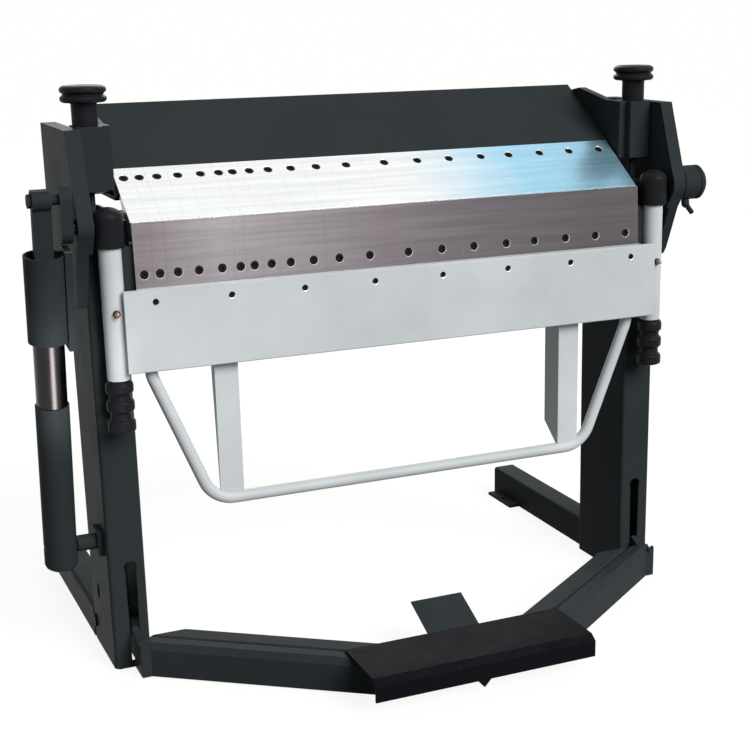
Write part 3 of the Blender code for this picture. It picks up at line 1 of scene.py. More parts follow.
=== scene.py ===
"""Looks of the sheet metal brake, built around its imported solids.

The object's own frame is used throughout: metres, floor at z = 0, operator at -Y. Each operator
dresses one group of pieces, and the panel in the 3D view's sidebar lists them.
"""
import math

import bmesh
import bpy
from mathutils import Matrix, Vector


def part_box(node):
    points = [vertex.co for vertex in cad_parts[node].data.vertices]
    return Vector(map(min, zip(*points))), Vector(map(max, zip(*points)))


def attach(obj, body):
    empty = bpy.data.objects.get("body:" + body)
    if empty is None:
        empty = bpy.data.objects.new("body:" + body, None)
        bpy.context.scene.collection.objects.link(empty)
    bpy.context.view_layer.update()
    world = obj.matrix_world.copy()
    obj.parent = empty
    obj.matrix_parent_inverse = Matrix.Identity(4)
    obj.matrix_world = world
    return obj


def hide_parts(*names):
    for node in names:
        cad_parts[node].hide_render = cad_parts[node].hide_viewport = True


bl_info = {
    "name": "Sheet metal brake",
    "version": (1, 0, 0),
    "blender": (4, 5, 0),
    "location": "View3D > Sidebar > Brake",
    "description": "Dresses the solids of a foot-clamped sheet metal folding machine",
    "category": "Object",
}

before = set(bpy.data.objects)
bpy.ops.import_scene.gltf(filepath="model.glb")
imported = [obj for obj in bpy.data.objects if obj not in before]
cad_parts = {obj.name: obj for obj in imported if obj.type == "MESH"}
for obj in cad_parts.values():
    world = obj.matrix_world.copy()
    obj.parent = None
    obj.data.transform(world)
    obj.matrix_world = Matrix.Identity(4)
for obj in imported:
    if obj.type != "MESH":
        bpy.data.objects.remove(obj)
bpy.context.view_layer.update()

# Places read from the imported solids.
BLADES_LOW, BLADES_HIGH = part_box("folding_blades")
MIDDLE_X = (BLADES_LOW.x + BLADES_HIGH.x) / 2
FRONT_Y = BLADES_LOW.y
BLADE_LENGTH = BLADES_HIGH.x - BLADES_LOW.x
BED_HEIGHT = BLADES_HIGH.z
SIDES = (("left", -1), ("right", 1))


def place(x, y, z):
    """A point given in the machine's own frame: X from the blades' middle, Y from their face."""
    return Vector((MIDDLE_X + x, FRONT_Y + y, z))


# Sizes and colours that a user would change.

class BrakePaintSettings(bpy.types.PropertyGroup):
    dark_colour: bpy.props.FloatVectorProperty(
        name="Dark paint", description="Colour of the frame and beam paint", subtype="COLOR",
        size=3, min=0, max=1, default=(0.029, 0.035, 0.038))
    pale_colour: bpy.props.FloatVectorProperty(
        name="White paint", description="Colour of the apron, tubes and handle", subtype="COLOR",
        size=3, min=0, max=1, default=(0.60, 0.635, 0.65))
    grip_colour: bpy.props.FloatVectorProperty(
        name="Black plastic", description="Colour of the knobs and pivot heads", subtype="COLOR",
        size=3, min=0, max=1, default=(0.010, 0.011, 0.013))
    pedal_colour: bpy.props.FloatVectorProperty(
        name="Pedal paint", description="Colour of the pedal's tread", subtype="COLOR",
        size=3, min=0, max=1, default=(0.007, 0.0065, 0.009))
    wear: bpy.props.FloatProperty(
        name="Edge wear", description="How much of the paint is rubbed off along edges",
        subtype="FACTOR", min=0, max=1, default=0.25)


class BrakeSteelSettings(bpy.types.PropertyGroup):
    finger_colour: bpy.props.FloatVectorProperty(
        name="Finger steel", description="Colour of the ground clamping fingers", subtype="COLOR",
        size=3, min=0, max=1, default=(0.90, 0.92, 0.93))
    blade_colour: bpy.props.FloatVectorProperty(
        name="Blade steel", description="Colour of the folding blades", subtype="COLOR",
        size=3, min=0, max=1, default=(0.295, 0.275, 0.29))
    # Made very dark so the tube's sides look dark: painted shade in place of the dark surroundings
    # it reflects.
    tube_colour: bpy.props.FloatVectorProperty(
        name="Strut tube steel", description="Colour of the strut's sliding tube", subtype="COLOR",
        size=3, min=0, max=1, default=(0.036, 0.032, 0.033))
    nipple_colour: bpy.props.FloatVectorProperty(
        name="Nipple brass", description="Colour of the grease nipples", subtype="COLOR",
        size=3, min=0, max=1, default=(0.40, 0.20, 0.10))


class BrakeSizeSettings(bpy.types.PropertyGroup):
    plate_edge: bpy.props.FloatProperty(
        name="Plate edge", description="Radius along the edges of thick plates",
        subtype="DISTANCE", unit="LENGTH", min=0.0002, max=0.004, default=0.0014)
    steel_edge: bpy.props.FloatProperty(
        name="Steel edge", description="Radius along the edges of ground steel",
        subtype="DISTANCE", unit="LENGTH", min=0.0001, max=0.002, default=0.0005)
    fold_radius: bpy.props.FloatProperty(
        name="Fold radius", description="Outer radius of the columns' and feet's folds",
        subtype="DISTANCE", unit="LENGTH", min=0.001, max=0.02, default=0.009)
    screw_radius: bpy.props.FloatProperty(
        name="Screw head radius", description="Head radius of the fingers' and blades' screws",
        subtype="DISTANCE", unit="LENGTH", min=0.004, max=0.012, default=0.0095)
    screw_height: bpy.props.FloatProperty(
        name="Screw head height", description="Head height of the fingers' and blades' screws",
        subtype="DISTANCE", unit="LENGTH", min=0.002, max=0.0078, default=0.0066)
    apron_screw_radius: bpy.props.FloatProperty(
        name="Apron screw radius", description="Head radius of the apron's screws",
        subtype="DISTANCE", unit="LENGTH", min=0.003, max=0.008, default=0.0062)
    handle_radius: bpy.props.FloatProperty(
        name="Handle radius", description="Radius of the bail handle's tube",
        subtype="DISTANCE", unit="LENGTH", min=0.008, max=0.02, default=0.014)
    handle_bend: bpy.props.FloatProperty(
        name="Handle bend", description="Radius of the bail handle's two bends",
        subtype="DISTANCE", unit="LENGTH", min=0.03, max=0.15, default=0.075)


# Shared shader groups.

EDGE_LAYER = "edge"
BLACK, WHITE = (0.0, 0.0, 0.0), (1.0, 1.0, 1.0)
FLOOR_DUST = (0.20, 0.20, 0.19, 1)
HAND_DUST = (0.20, 0.20, 0.20, 1)
MADE = {}


def made_once(maker):
    """What a maker gives, made the first time it is asked for."""
    if maker not in MADE:
        MADE[maker] = maker()
    return MADE[maker]


def group_socket(tree, name, kind, way, default=None):
    """Adds a named input or output to a group."""
    socket = tree.interface.new_socket(name=name, in_out=way, socket_type=kind)
    if default is not None:
        socket.default_value = default


class Wiring:
    """Short words for placing and joining nodes in one tree."""

    def __init__(self, tree):
        self.tree = tree
        self.column = 0

    def node(self, kind, **settings):
        made = self.tree.nodes.new(kind)
        made.location = (self.column * 180, 0)
        self.column += 1
        for key, value in settings.items():
            setattr(made, key, value)
        return made

    def join(self, source, target):
        self.tree.links.new(source, target)

    def fill(self, node, feeds):
        """Joins a node's inputs, by name or number, to other sockets, or sets their values."""
        for key, value in feeds.items():
            if isinstance(value, bpy.types.NodeSocket):
                self.join(value, node.inputs[key])
            else:
                node.inputs[key].default_value = value

    def fed(self, kind, feeds, **settings):
        """A new node with its inputs filled; returns its outputs."""
        made = self.node(kind, **settings)
        self.fill(made, feeds)
        return made.outputs

    def math(self, operation, *values, clamp=False):
        feeds = dict(enumerate(values))
        return self.fed("ShaderNodeMath", feeds, operation=operation, use_clamp=clamp)[0]

    def split(self, vector):
        return self.fed("ShaderNodeSeparateXYZ", {0: vector})

    def vector(self, x=0.0, y=0.0, z=0.0):
        return self.fed("ShaderNodeCombineXYZ", {0: x, 1: y, 2: z})[0]

    def ramp(self, value, stops):
        """A colour for each place from 0 to 1: (place, colour) pairs in rising order."""
        made = self.node("ShaderNodeValToRGB")
        elements = made.color_ramp.elements
        while len(elements) < len(stops):
            elements.new(0.5)
        for element, (spot, colour) in zip(elements, stops):
            element.position = spot
            element.color = (*colour, 1)
        self.fill(made, {"Fac": value})
        return made.outputs["Color"]

    def tones(self, value, stops):
        """A colour for each place along a value, whatever its range."""
        first, last = stops[0][0], stops[-1][0]
        share = self.fed(
            "ShaderNodeMapRange", {"Value": value, "From Min": first, "From Max": last})
        shares = [((spot - first) / (last - first), colour) for spot, colour in stops]
        return self.ramp(share["Result"], shares)

    def noise(self, vector, scale, detail, roughness):
        feeds = {"Vector": vector, "Scale": scale, "Detail": detail, "Roughness": roughness}
        return self.fed("ShaderNodeTexNoise", feeds, noise_dimensions="3D")["Fac"]

    def mix(self, factor, first, second, blend="MIX"):
        feeds = {0: factor, 6: first, 7: second}
        return self.fed("ShaderNodeMix", feeds, data_type="RGBA", blend_type=blend)[2]

    def bump(self, height, strength, distance):
        feeds = {"Height": height, "Strength": strength, "Distance": distance}
        return self.fed("ShaderNodeBump", feeds)["Normal"]


def stretched(w, vector, factors):
    """Object coordinates scaled by their own factor along each axis."""
    feeds = {"Vector": vector, "Scale": factors}
    return w.fed("ShaderNodeMapping", feeds, vector_type="POINT")["Vector"]


def shader_group(name, outputs, **inputs):
    """A group fed by a vector and numbers; returns its wiring and the sockets inside it."""
    tree = bpy.data.node_groups.new(name, "ShaderNodeTree")
    group_socket(tree, "Vector", "NodeSocketVector", "INPUT")
    for key, default in inputs.items():
        group_socket(tree, key, "NodeSocketFloat", "INPUT", default)
    for key in outputs:
        group_socket(tree, key, "NodeSocketFloat", "OUTPUT")
    w = Wiring(tree)
    return w, w.node("NodeGroupInput").outputs, w.node("NodeGroupOutput").inputs


def rubbed_edges_group():
    """Where paint or oxide is rubbed through: patches along the rounded edges, with a few chips.
    Faces marked 1 wear in patches, and faces marked 2 are bare all over."""
    w, given, result = shader_group("rubbed edges", ("Mask",), Amount=0.35, Grain=60.0)
    edge = w.node("ShaderNodeAttribute", attribute_name=EDGE_LAYER).outputs["Fac"]
    coarse = w.noise(given["Vector"], given["Grain"], 4, 0.6)
    fine = w.noise(given["Vector"], w.math("MULTIPLY", given["Grain"], 6.0), 2, 0.6)
    patches = w.math("MULTIPLY_ADD", fine, 0.35, w.math("MULTIPLY", coarse, 0.65))
    threshold = w.math("SUBTRACT", 0.78, w.math("MULTIPLY", given["Amount"], 0.45))
    patch = w.math("MULTIPLY", w.math("SUBTRACT", patches, threshold), 12.0, clamp=True)
    rubbed = w.math("MULTIPLY", patch, edge, clamp=True)
    bare = w.math("SUBTRACT", edge, 1.0, clamp=True)
    w.join(w.math("MAXIMUM", rubbed, bare), result["Mask"])
    return w.tree


def paint_skin_group():
    """The skin of sprayed paint: a fine orange peel and slow changes of gloss and shade."""
    w, given, result = shader_group("paint skin", ("Height", "Gloss", "Shade"), Peel=420.0)
    w.join(w.noise(given["Vector"], given["Peel"], 2, 0.5), result["Height"])
    w.join(w.noise(given["Vector"], 9.0, 3, 0.6), result["Gloss"])
    w.join(w.noise(given["Vector"], 3.5, 4, 0.55), result["Shade"])
    return w.tree


def settled_dust_group():
    """Dust and scuffs that settle on faces that look up, thickest near the floor."""
    w, given, result = shader_group("settled dust", ("Mask",), Amount=0.3)
    up = w.split(w.node("ShaderNodeNewGeometry").outputs["Normal"])["Z"]
    height = w.split(given["Vector"])["Z"]
    facing = w.math("MULTIPLY", w.math("SUBTRACT", up, 0.55), 2.2, clamp=True)
    low = w.math("SUBTRACT", 1.0, w.math("MULTIPLY", height, 1.6), clamp=True)
    low = w.math("MULTIPLY_ADD", low, 0.75, 0.25)
    patches = w.ramp(w.noise(given["Vector"], 26.0, 5, 0.65), ((0.35, BLACK), (0.75, WHITE)))
    mask = w.math("MULTIPLY", w.math("MULTIPLY", facing, low), patches)
    w.join(w.math("MULTIPLY", mask, given["Amount"], clamp=True), result["Mask"])
    return w.tree


def ground_grain_group():
    """The lay of a grinding wheel: fine scratches along one axis, and cloudy passes across it."""
    w, given, result = shader_group("ground grain", ("Height", "Gloss", "Shade"), Passes=0.12)
    fine = w.noise(given["Vector"], 1.0, 3, 0.7)
    broad = w.noise(given["Vector"], given["Passes"], 2, 0.5)
    w.join(fine, result["Height"])
    w.join(w.math("MULTIPLY_ADD", fine, 0.5, w.math("MULTIPLY", broad, 0.5)), result["Gloss"])
    w.join(broad, result["Shade"])
    return w.tree


def cleared(holder):
    """The wiring of a material's or a world's nodes, with nothing in it yet."""
    holder.use_nodes = True
    holder.node_tree.nodes.clear()
    return Wiring(holder.node_tree)


def new_material(name):
    """A material with a Principled BSDF; returns it with its wiring, shader and coordinates."""
    material = bpy.data.materials.new(name)
    w = cleared(material)
    shader = w.node("ShaderNodeBsdfPrincipled")
    w.fed("ShaderNodeOutputMaterial", {"Surface": shader.outputs["BSDF"]})
    return material, w, shader, w.node("ShaderNodeTexCoord").outputs["Object"]


def use_group(w, group, vector, **values):
    """Places a shared group in a material with its own values; returns its outputs."""
    feeds = {"Vector": vector, **values}
    return w.fed("ShaderNodeGroup", feeds, node_tree=made_once(group))


def tinted(colour, share):
    """A colour made darker or lighter by a share, as RGBA."""
    return (*(min(1.0, c * share) for c in colour), 1.0)


def painted(name, colour, gloss, wear, dust, peel=420.0, bared=(0.14, 0.14, 0.15), shine=0.014):
    """Sprayed paint over steel, rubbed through along its edges."""
    material, w, shader, where = new_material(name)
    skin = use_group(w, paint_skin_group, where, Peel=peel)
    rubbed = use_group(w, rubbed_edges_group, where, Amount=wear)["Mask"]
    settled = use_group(w, settled_dust_group, where, Amount=dust)["Mask"]
    shade = w.ramp(skin["Shade"], ((0.3, BLACK), (0.7, WHITE)))
    body = w.mix(shade, tinted(colour, 0.90), tinted(colour, 1.10))
    worn = w.mix(rubbed, body, (*bared, 1))
    rough = w.math("MULTIPLY_ADD", skin["Gloss"], 0.16, gloss - 0.08)
    w.fill(shader, {
        "Base Color": w.mix(settled, worn, FLOOR_DUST),
        "Metallic": w.math("MULTIPLY", rubbed, 0.8),
        "Roughness": w.math("MULTIPLY_ADD", settled, 0.35, rough, clamp=True),
        "Specular IOR Level": shine,
        "Normal": w.bump(skin["Height"], 0.10, 0.0004)})
    return material


def ground(name, colour, gloss, lay, wear_shade, across=(), metal=1.0):
    """Ground steel with its lay along one axis and brighter rubbed edges. across gives shares of
    its colour at places along X, from the machine's middle: for the fingers and blades a painted
    reflection, for the nipples their own colour."""
    material, w, shader, where = new_material(name)
    grain = use_group(w, ground_grain_group, stretched(w, where, lay))
    rubbed = use_group(w, rubbed_edges_group, where, Amount=0.8)["Mask"]
    shade = w.ramp(grain["Shade"], ((0.35, BLACK), (0.65, WHITE)))
    body = w.mix(shade, tinted(colour, 0.93), tinted(colour, 1.05))
    # A painted reflection along X on the fingers and blades; on the nipples their own colour.
    if across:
        drift = w.math("MULTIPLY_ADD", w.noise(where, 4.0, 3, 0.5), 0.16, -0.08)
        spot = w.math("ADD", w.split(where)["X"], drift)
        tone_and_reflection = w.tones(spot, [(MIDDLE_X + x, share) for x, share in across])
        body = w.mix(1.0, body, tone_and_reflection, "MULTIPLY")
    w.fill(shader, {
        "Base Color": w.mix(rubbed, body, (*wear_shade, 1)),
        "Metallic": w.math("MULTIPLY_ADD", rubbed, -0.5 * metal, metal),
        "Roughness": w.math("MULTIPLY_ADD", grain["Gloss"], 0.18, gloss - 0.09),
        "Normal": w.bump(grain["Height"], 0.05, 0.0002)})
    return material


def moulded(name, colour, gloss):
    """Black moulded plastic with a fine spark texture and handling shine."""
    material, w, shader, where = new_material(name)
    skin = use_group(w, paint_skin_group, where, Peel=900.0)
    settled = use_group(w, settled_dust_group, where, Amount=0.05)["Mask"]
    shade = w.mix(skin["Shade"], tinted(colour, 0.85), tinted(colour, 1.2))
    w.fill(shader, {
        "Base Color": w.mix(settled, shade, HAND_DUST),
        "Roughness": w.math("MULTIPLY_ADD", skin["Gloss"], 0.25, gloss - 0.1),
        "Specular IOR Level": 0.07,
        "Normal": w.bump(skin["Height"], 0.12, 0.0002)})
    return material


MATERIALS = {}

# Shares of each steel's colour at places along X, from the machine's middle.
# The fingers' change from white to blue along X is a painted reflection.
FINGER_PAINTED_REFLECTION = ((0.04, WHITE), (0.34, (0.42, 0.75, 0.94)), (0.58, (0.40, 0.68, 0.86)))
# The blades' change from light to dark along X is a painted reflection.
BLADE_PAINTED_REFLECTION = (
    (-0.635, (0.66, 0.61, 0.63)), (-0.42, WHITE), (-0.06, (0.60, 0.565, 0.59)),
    (0.20, (0.445, 0.43, 0.44)), (0.52, (0.35, 0.345, 0.34)))
# The nipples' change along X is their own colour.
NIPPLE_TONES = ((-0.1, WHITE), (0.1, (0.55, 1.0, 1.1)))


def finishes():
    """Each finish's maker, and what it is given after the finish's own name."""
    paint = bpy.context.scene.brake_paint
    steel = bpy.context.scene.brake_steel
    return {
        "dark paint": (painted, paint.dark_colour, 0.46, paint.wear, 0.06),
        "white paint": (
            painted, paint.pale_colour, 0.36, paint.wear * 0.5, 0.05, 520.0, (0.80,) * 3, 0.10),
        "pedal paint": (painted, paint.pedal_colour, 0.50, paint.wear * 1.3, 0.05),
        "screw black": (painted, (0.020, 0.016, 0.017), 0.42, 0.0, 0.0, 800.0),
        "black plastic": (moulded, paint.grip_colour, 0.40),
        "finger steel": (
            ground, steel.finger_colour, 0.28, (30.0, 700.0, 700.0), (0.80, 0.82, 0.84),
            FINGER_PAINTED_REFLECTION, 0.75),
        "blade steel": (
            ground, steel.blade_colour, 0.34, (30.0, 700.0, 900.0), (0.80, 0.78, 0.79),
            BLADE_PAINTED_REFLECTION),
        "bright steel": (ground, (0.50, 0.50, 0.51), 0.30, (400.0, 400.0, 60.0), (0.75,) * 3),
        "tube steel": (ground, steel.tube_colour, 0.27, (500.0, 500.0, 30.0), (0.12, 0.11, 0.11)),
        "nipple brass": (
            ground, steel.nipple_colour, 0.30, (300.0,) * 3, (0.85, 0.6, 0.3), NIPPLE_TONES),
    }


def material_for(key):
    """One of the object's finishes, made the first time it is asked for."""
    if key not in MATERIALS:
        maker, *values = finishes()[key]
        MATERIALS[key] = maker(key, *values)
    return MATERIALS[key]


# Mesh helpers.

WELD = 0.00002
NEAR = 0.001
SHARP_ANGLE = 28.0
SMOOTH_ANGLE = 38.0
TUBE_ANGLE = 32.0
KNOB_ANGLE = 50.0
UP = (0, 0, 1)
QUARTER_TURN = math.radians(90)

# Marks on faces: how far rubbed_edges_group wears them.
UNWORN, LIGHTLY_WORN, HALF_WORN, WORN, BARE = 0.0, 0.35, 0.5, 1.0, 2.0


def new_solid(mesh=None, weld=True):
    """An empty solid, or one made of a mesh, with the layer that marks worn faces."""
    solid = bmesh.new()
    if mesh is not None:
        solid.from_mesh(mesh)
        if weld:
            bmesh.ops.remove_doubles(solid, verts=solid.verts, dist=WELD)
    solid.faces.layers.float.new(EDGE_LAYER)
    return solid


def solid_of(node):
    """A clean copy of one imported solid, with its loose triangles joined into flat faces."""
    solid = new_solid(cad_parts[node].data)
    bmesh.ops.dissolve_limit(
        solid, angle_limit=math.radians(0.6), verts=solid.verts, edges=solid.edges)
    return solid


def measured(node):
    """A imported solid's box: its low and high corners, its middle and its size."""
    low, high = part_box(node)
    return low, high, (low + high) / 2, high - low


def round_edges(solid, radius, segments=2, pick=None, worn=WORN, clamp=True):
    """Rounds the sharp edges of a solid and marks the new faces as places that wear."""
    sharp = [
        edge for edge in solid.edges
        if len(edge.link_faces) == 2
        and math.degrees(edge.calc_face_angle(0)) >= SHARP_ANGLE
        and (pick is None or pick(edge))
    ]
    if not sharp:
        return
    made = bmesh.ops.bevel(
        solid, geom=sharp, offset=radius, offset_type="OFFSET", segments=segments, profile=0.5,
        affect="EDGES", clamp_overlap=clamp, loop_slide=True)
    layer = solid.faces.layers.float.get(EDGE_LAYER)
    for face in made["faces"]:
        face[layer] = worn


def placed(name, data):
    """A new object in the scene."""
    made = bpy.data.objects.new(name, data)
    bpy.context.scene.collection.objects.link(made)
    return made


def smooth(mesh, smooth_over=SMOOTH_ANGLE):
    """Smooth shading where a mesh curves, sharp where it turns."""
    for polygon in mesh.polygons:
        polygon.use_smooth = True
    mesh.set_sharp_from_angle(angle=math.radians(smooth_over))


def finished(name, solid, material, body, replaced=(), smooth_over=SMOOTH_ANGLE):
    """Turns a solid into a piece: smooth where it curves, with its finish, riding on its body."""
    mesh = bpy.data.meshes.new(name)
    solid.to_mesh(mesh)
    solid.free()
    smooth(mesh, smooth_over)
    mesh.materials.append(material_for(material))
    piece = placed(name, mesh)
    weighted = piece.modifiers.new("even shading", "WEIGHTED_NORMAL")
    weighted.keep_sharp = True
    weighted.weight = 80
    plain_mesh(piece)
    dressed(piece, body, replaced)


def plain_mesh(piece):
    """Turns a piece's modifiers into its own mesh."""
    bpy.context.view_layer.update()
    graph = bpy.context.evaluated_depsgraph_get()
    made = bpy.data.meshes.new_from_object(
        piece.evaluated_get(graph), preserve_all_data_layers=True, depsgraph=graph)
    old = piece.data
    piece.modifiers.clear()
    piece.data = made
    made.name = piece.name
    if old.users == 0:
        bpy.data.meshes.remove(old)


def dressed(piece, body, replaced=()):
    """Says which body a piece rides on, and hides the nodes it stands for."""
    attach(piece, body)
    if replaced:
        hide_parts(*replaced)


def stand_in(node, solid, body, material, smooth_over=SMOOTH_ANGLE):
    """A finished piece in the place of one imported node."""
    finished(node + "_shown", solid, material, body, (node,), smooth_over)


def copied(node, body, material, slot, radius, steps=(), smooth_over=SMOOTH_ANGLE):
    """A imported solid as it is, with its edges rounded; steps are rounds made before the rest."""
    solid = solid_of(node)
    for step in steps:
        round_edges(solid, **step)
    round_edges(solid, radius)
    stand_in(node, solid, body, material, smooth_over)


def dark(node, body, radius, **more):
    """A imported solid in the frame's dark paint."""
    copied(node, body, "dark paint", "dark_paint", radius, **more)


def coloured(node, material):
    """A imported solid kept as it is, with a finish of its own."""
    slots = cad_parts[node].data.materials
    slots.clear()
    slots.append(material_for(material))


def turned(profile, foot, axis, sides=64, ring=False):
    """A solid of revolution: (radius, height) pairs up the axis from the foot, closed at both
    ends. A ring's profile is closed on itself instead, and leaves the middle open."""
    solid = new_solid()
    turn = Vector(UP).rotation_difference(Vector(axis)).to_matrix().to_4x4()
    move = Matrix.Translation(Vector(foot)) @ turn
    rings = []
    for radius, height in profile:
        count = sides if radius > 1e-7 else 1
        angles = [2 * math.pi * k / sides for k in range(count)]
        rings.append([
            solid.verts.new((radius * math.cos(a), radius * math.sin(a), height))
            for a in angles])
    for lower, upper in zip(rings, rings[1:] + (rings[:1] if ring else [])):
        for k in range(sides):
            m = (k + 1) % sides
            corners = (
                lower[k % len(lower)], lower[m % len(lower)],
                upper[m % len(upper)], upper[k % len(upper)])
            solid.faces.new(list(dict.fromkeys(corners)))
    for end in () if ring else (rings[0], rings[-1]):
        if len(end) > 1:
            solid.faces.new(end)
    bmesh.ops.transform(solid, matrix=move, verts=solid.verts)
    bmesh.ops.recalc_face_normals(solid, faces=solid.faces)
    return solid


def rounded_profile(points, radius, steps=4):
    """Rounds the corners of a lathe profile given as (radius, height) pairs."""
    flat = [Vector(p) for p in points]
    out = [flat[0]]
    for before, corner, after in zip(flat, flat[1:], flat[2:]):
        first = before - corner
        last = after - corner
        reach = min(radius, first.length * 0.45, last.length * 0.45)
        start = corner + first.normalized() * reach
        end = corner + last.normalized() * reach
        for k in range(steps + 1):
            t = k / steps
            out.append(start.lerp(corner, t).lerp(corner.lerp(end, t), t))
    out.append(flat[-1])
    return [tuple(p) for p in out]


def mark_edges(solid, least=20.0, longest=0.006):
    """Marks the narrow faces beside sharp turns of a lathed solid as places that wear."""
    layer = solid.faces.layers.float.get(EDGE_LAYER)
    for face in solid.faces:
        if face.calc_area() > longest * longest:
            continue
        for edge in face.edges:
            if len(edge.link_faces) == 2 and math.degrees(edge.calc_face_angle(0)) > least:
                face[layer] = WORN
                break


def along(axis, shortest=0.1, where=None):
    """Picks long edges that run along an axis, and that a test of their middle point accepts."""

    def pick(edge):
        first, second = (v.co for v in edge.verts)
        line = second - first
        if line.length < shortest or abs(line[axis]) < 0.98 * line.length:
            return False
        return where is None or where((first + second) / 2)

    return pick


def folds(node, axis):
    """Picks the edges along an axis at the outer corners of a folded node's box."""
    low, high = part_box(node)
    others = [i for i in range(3) if i != axis]

    def at_a_corner(middle):
        gaps = [min(abs(middle[i] - low[i]), abs(middle[i] - high[i])) for i in others]
        return max(gaps) < NEAR

    return along(axis, where=at_a_corner)


# Geometry node trees.

def geometry_tree(name, sizes):
    """A tree fed by geometry, the named sizes and a material; returns its wiring and sockets."""
    tree = bpy.data.node_groups.new(name, "GeometryNodeTree")
    group_socket(tree, "Geometry", "NodeSocketGeometry", "INPUT")
    for size in sizes:
        group_socket(tree, size[0], size[1], "INPUT", *size[2:])
    group_socket(tree, "Material", "NodeSocketMaterial", "INPUT")
    group_socket(tree, "Geometry", "NodeSocketGeometry", "OUTPUT")
    w = Wiring(tree)
    return w, w.node("NodeGroupInput").outputs, w.node("NodeGroupOutput").inputs


def realized(w, geometry):
    """Instances turned into faces of their own."""
    return w.fed("GeometryNodeRealizeInstances", {"Geometry": geometry})["Geometry"]


def end_tree(w, start, end, geometry):
    """Realizes what the tree made, gives it its material and hands it out."""
    feeds = {"Geometry": realized(w, geometry), "Material": start["Material"]}
    w.join(w.fed("GeometryNodeSetMaterial", feeds)["Geometry"], end["Geometry"])
    return w.tree


def cylinder(w, sides, radius, depth):
    """A closed cylinder about the middle of its height; returns its mesh and its end faces."""
    feeds = {"Vertices": sides, "Radius": radius, "Depth": depth}
    return w.fed("GeometryNodeMeshCylinder", feeds, fill_type="NGON")


def leaned_on_points(w, points, shape, tilt):
    """A copy of a shape on each point, leaned about X."""
    lean = w.fed("FunctionNodeEulerToRotation", {"Euler": w.vector(tilt)})["Rotation"]
    feeds = {"Points": points, "Instance": shape, "Rotation": lean}
    return w.fed("GeometryNodeInstanceOnPoints", feeds)["Instances"]


def less(w, solid, tool, **more):
    """A solid with another one cut out of it."""
    feeds = {"Mesh 1": solid, "Mesh 2": tool, **more}
    return w.fed("GeometryNodeMeshBoolean", feeds, operation="DIFFERENCE", solver="EXACT")["Mesh"]


def mesh_of(w, holder):
    """The mesh that another object holds."""
    feeds = {"Object": holder}
    return w.fed("GeometryNodeObjectInfo", feeds, transform_space="ORIGINAL")["Geometry"]


def screw_row_tree():
    """Cap screws with a hex socket, one on each point, each turned by its own amount."""
    w, start, end = geometry_tree("socket screws", [
        ("Head Radius", "NodeSocketFloat", 0.0086), ("Head Height", "NodeSocketFloat", 0.006),
        ("Chamfer", "NodeSocketFloat", 0.0008), ("Socket Radius", "NodeSocketFloat", 0.0044),
        ("Tilt", "NodeSocketFloat", 0.0), ("Seed", "NodeSocketInt", 7)])
    radius, height, chamfer = (start[key] for key in ("Head Radius", "Head Height", "Chamfer"))
    head = cylinder(w, 32, radius, w.math("SUBTRACT", height, chamfer))
    feeds = {"Mesh": head["Mesh"], "Selection": head["Top"], "Offset Scale": chamfer}
    raised = w.fed("GeometryNodeExtrudeMesh", feeds, mode="FACES")
    share = w.math("DIVIDE", w.math("SUBTRACT", radius, chamfer), radius)
    feeds = {"Geometry": raised["Mesh"], "Selection": raised["Top"], "Scale": share}
    narrowed = w.fed("GeometryNodeScaleElements", feeds, domain="FACE")["Geometry"]
    key = cylinder(w, 6, start["Socket Radius"], height)["Mesh"]
    feeds = {"Geometry": key, "Translation": w.vector(z=w.math("MULTIPLY", height, 0.55))}
    lifted = w.fed("GeometryNodeTransform", feeds)["Geometry"]
    cut = less(w, narrowed, lifted)
    feeds = {3: math.radians(60), "Seed": start["Seed"]}
    spin = w.fed("FunctionNodeRandomValue", feeds, data_type="FLOAT")[1]
    screws = leaned_on_points(w, start["Geometry"], cut, start["Tilt"])
    feeds = {"Instances": screws, "Rotation": w.vector(z=spin), "Local Space": True}
    return end_tree(w, start, end, w.fed("GeometryNodeRotateInstances", feeds)["Instances"])


def bent_tube_tree():
    """A round tube along a line of points, with its corners bent to a radius."""
    w, start, end = geometry_tree("bent tube", [
        ("Tube Radius", "NodeSocketFloat", 0.014), ("Bend Radius", "NodeSocketFloat", 0.075),
        ("Sides", "NodeSocketInt", 32), ("Bend Steps", "NodeSocketInt", 18)])
    line = w.fed("GeometryNodeMeshToCurve", {"Mesh": start["Geometry"]})["Curve"]
    feeds = {"Curve": line, "Radius": start["Bend Radius"], "Count": start["Bend Steps"]}
    bent = w.fed("GeometryNodeFilletCurve", feeds, mode="POLY")["Curve"]
    feeds = {"Resolution": start["Sides"], "Radius": start["Tube Radius"]}
    ring = w.fed("GeometryNodeCurvePrimitiveCircle", feeds, mode="RADIUS")["Curve"]
    feeds = {"Curve": bent, "Profile Curve": ring, "Fill Caps": True}
    return end_tree(w, start, end, w.fed("GeometryNodeCurveToMesh", feeds)["Mesh"])


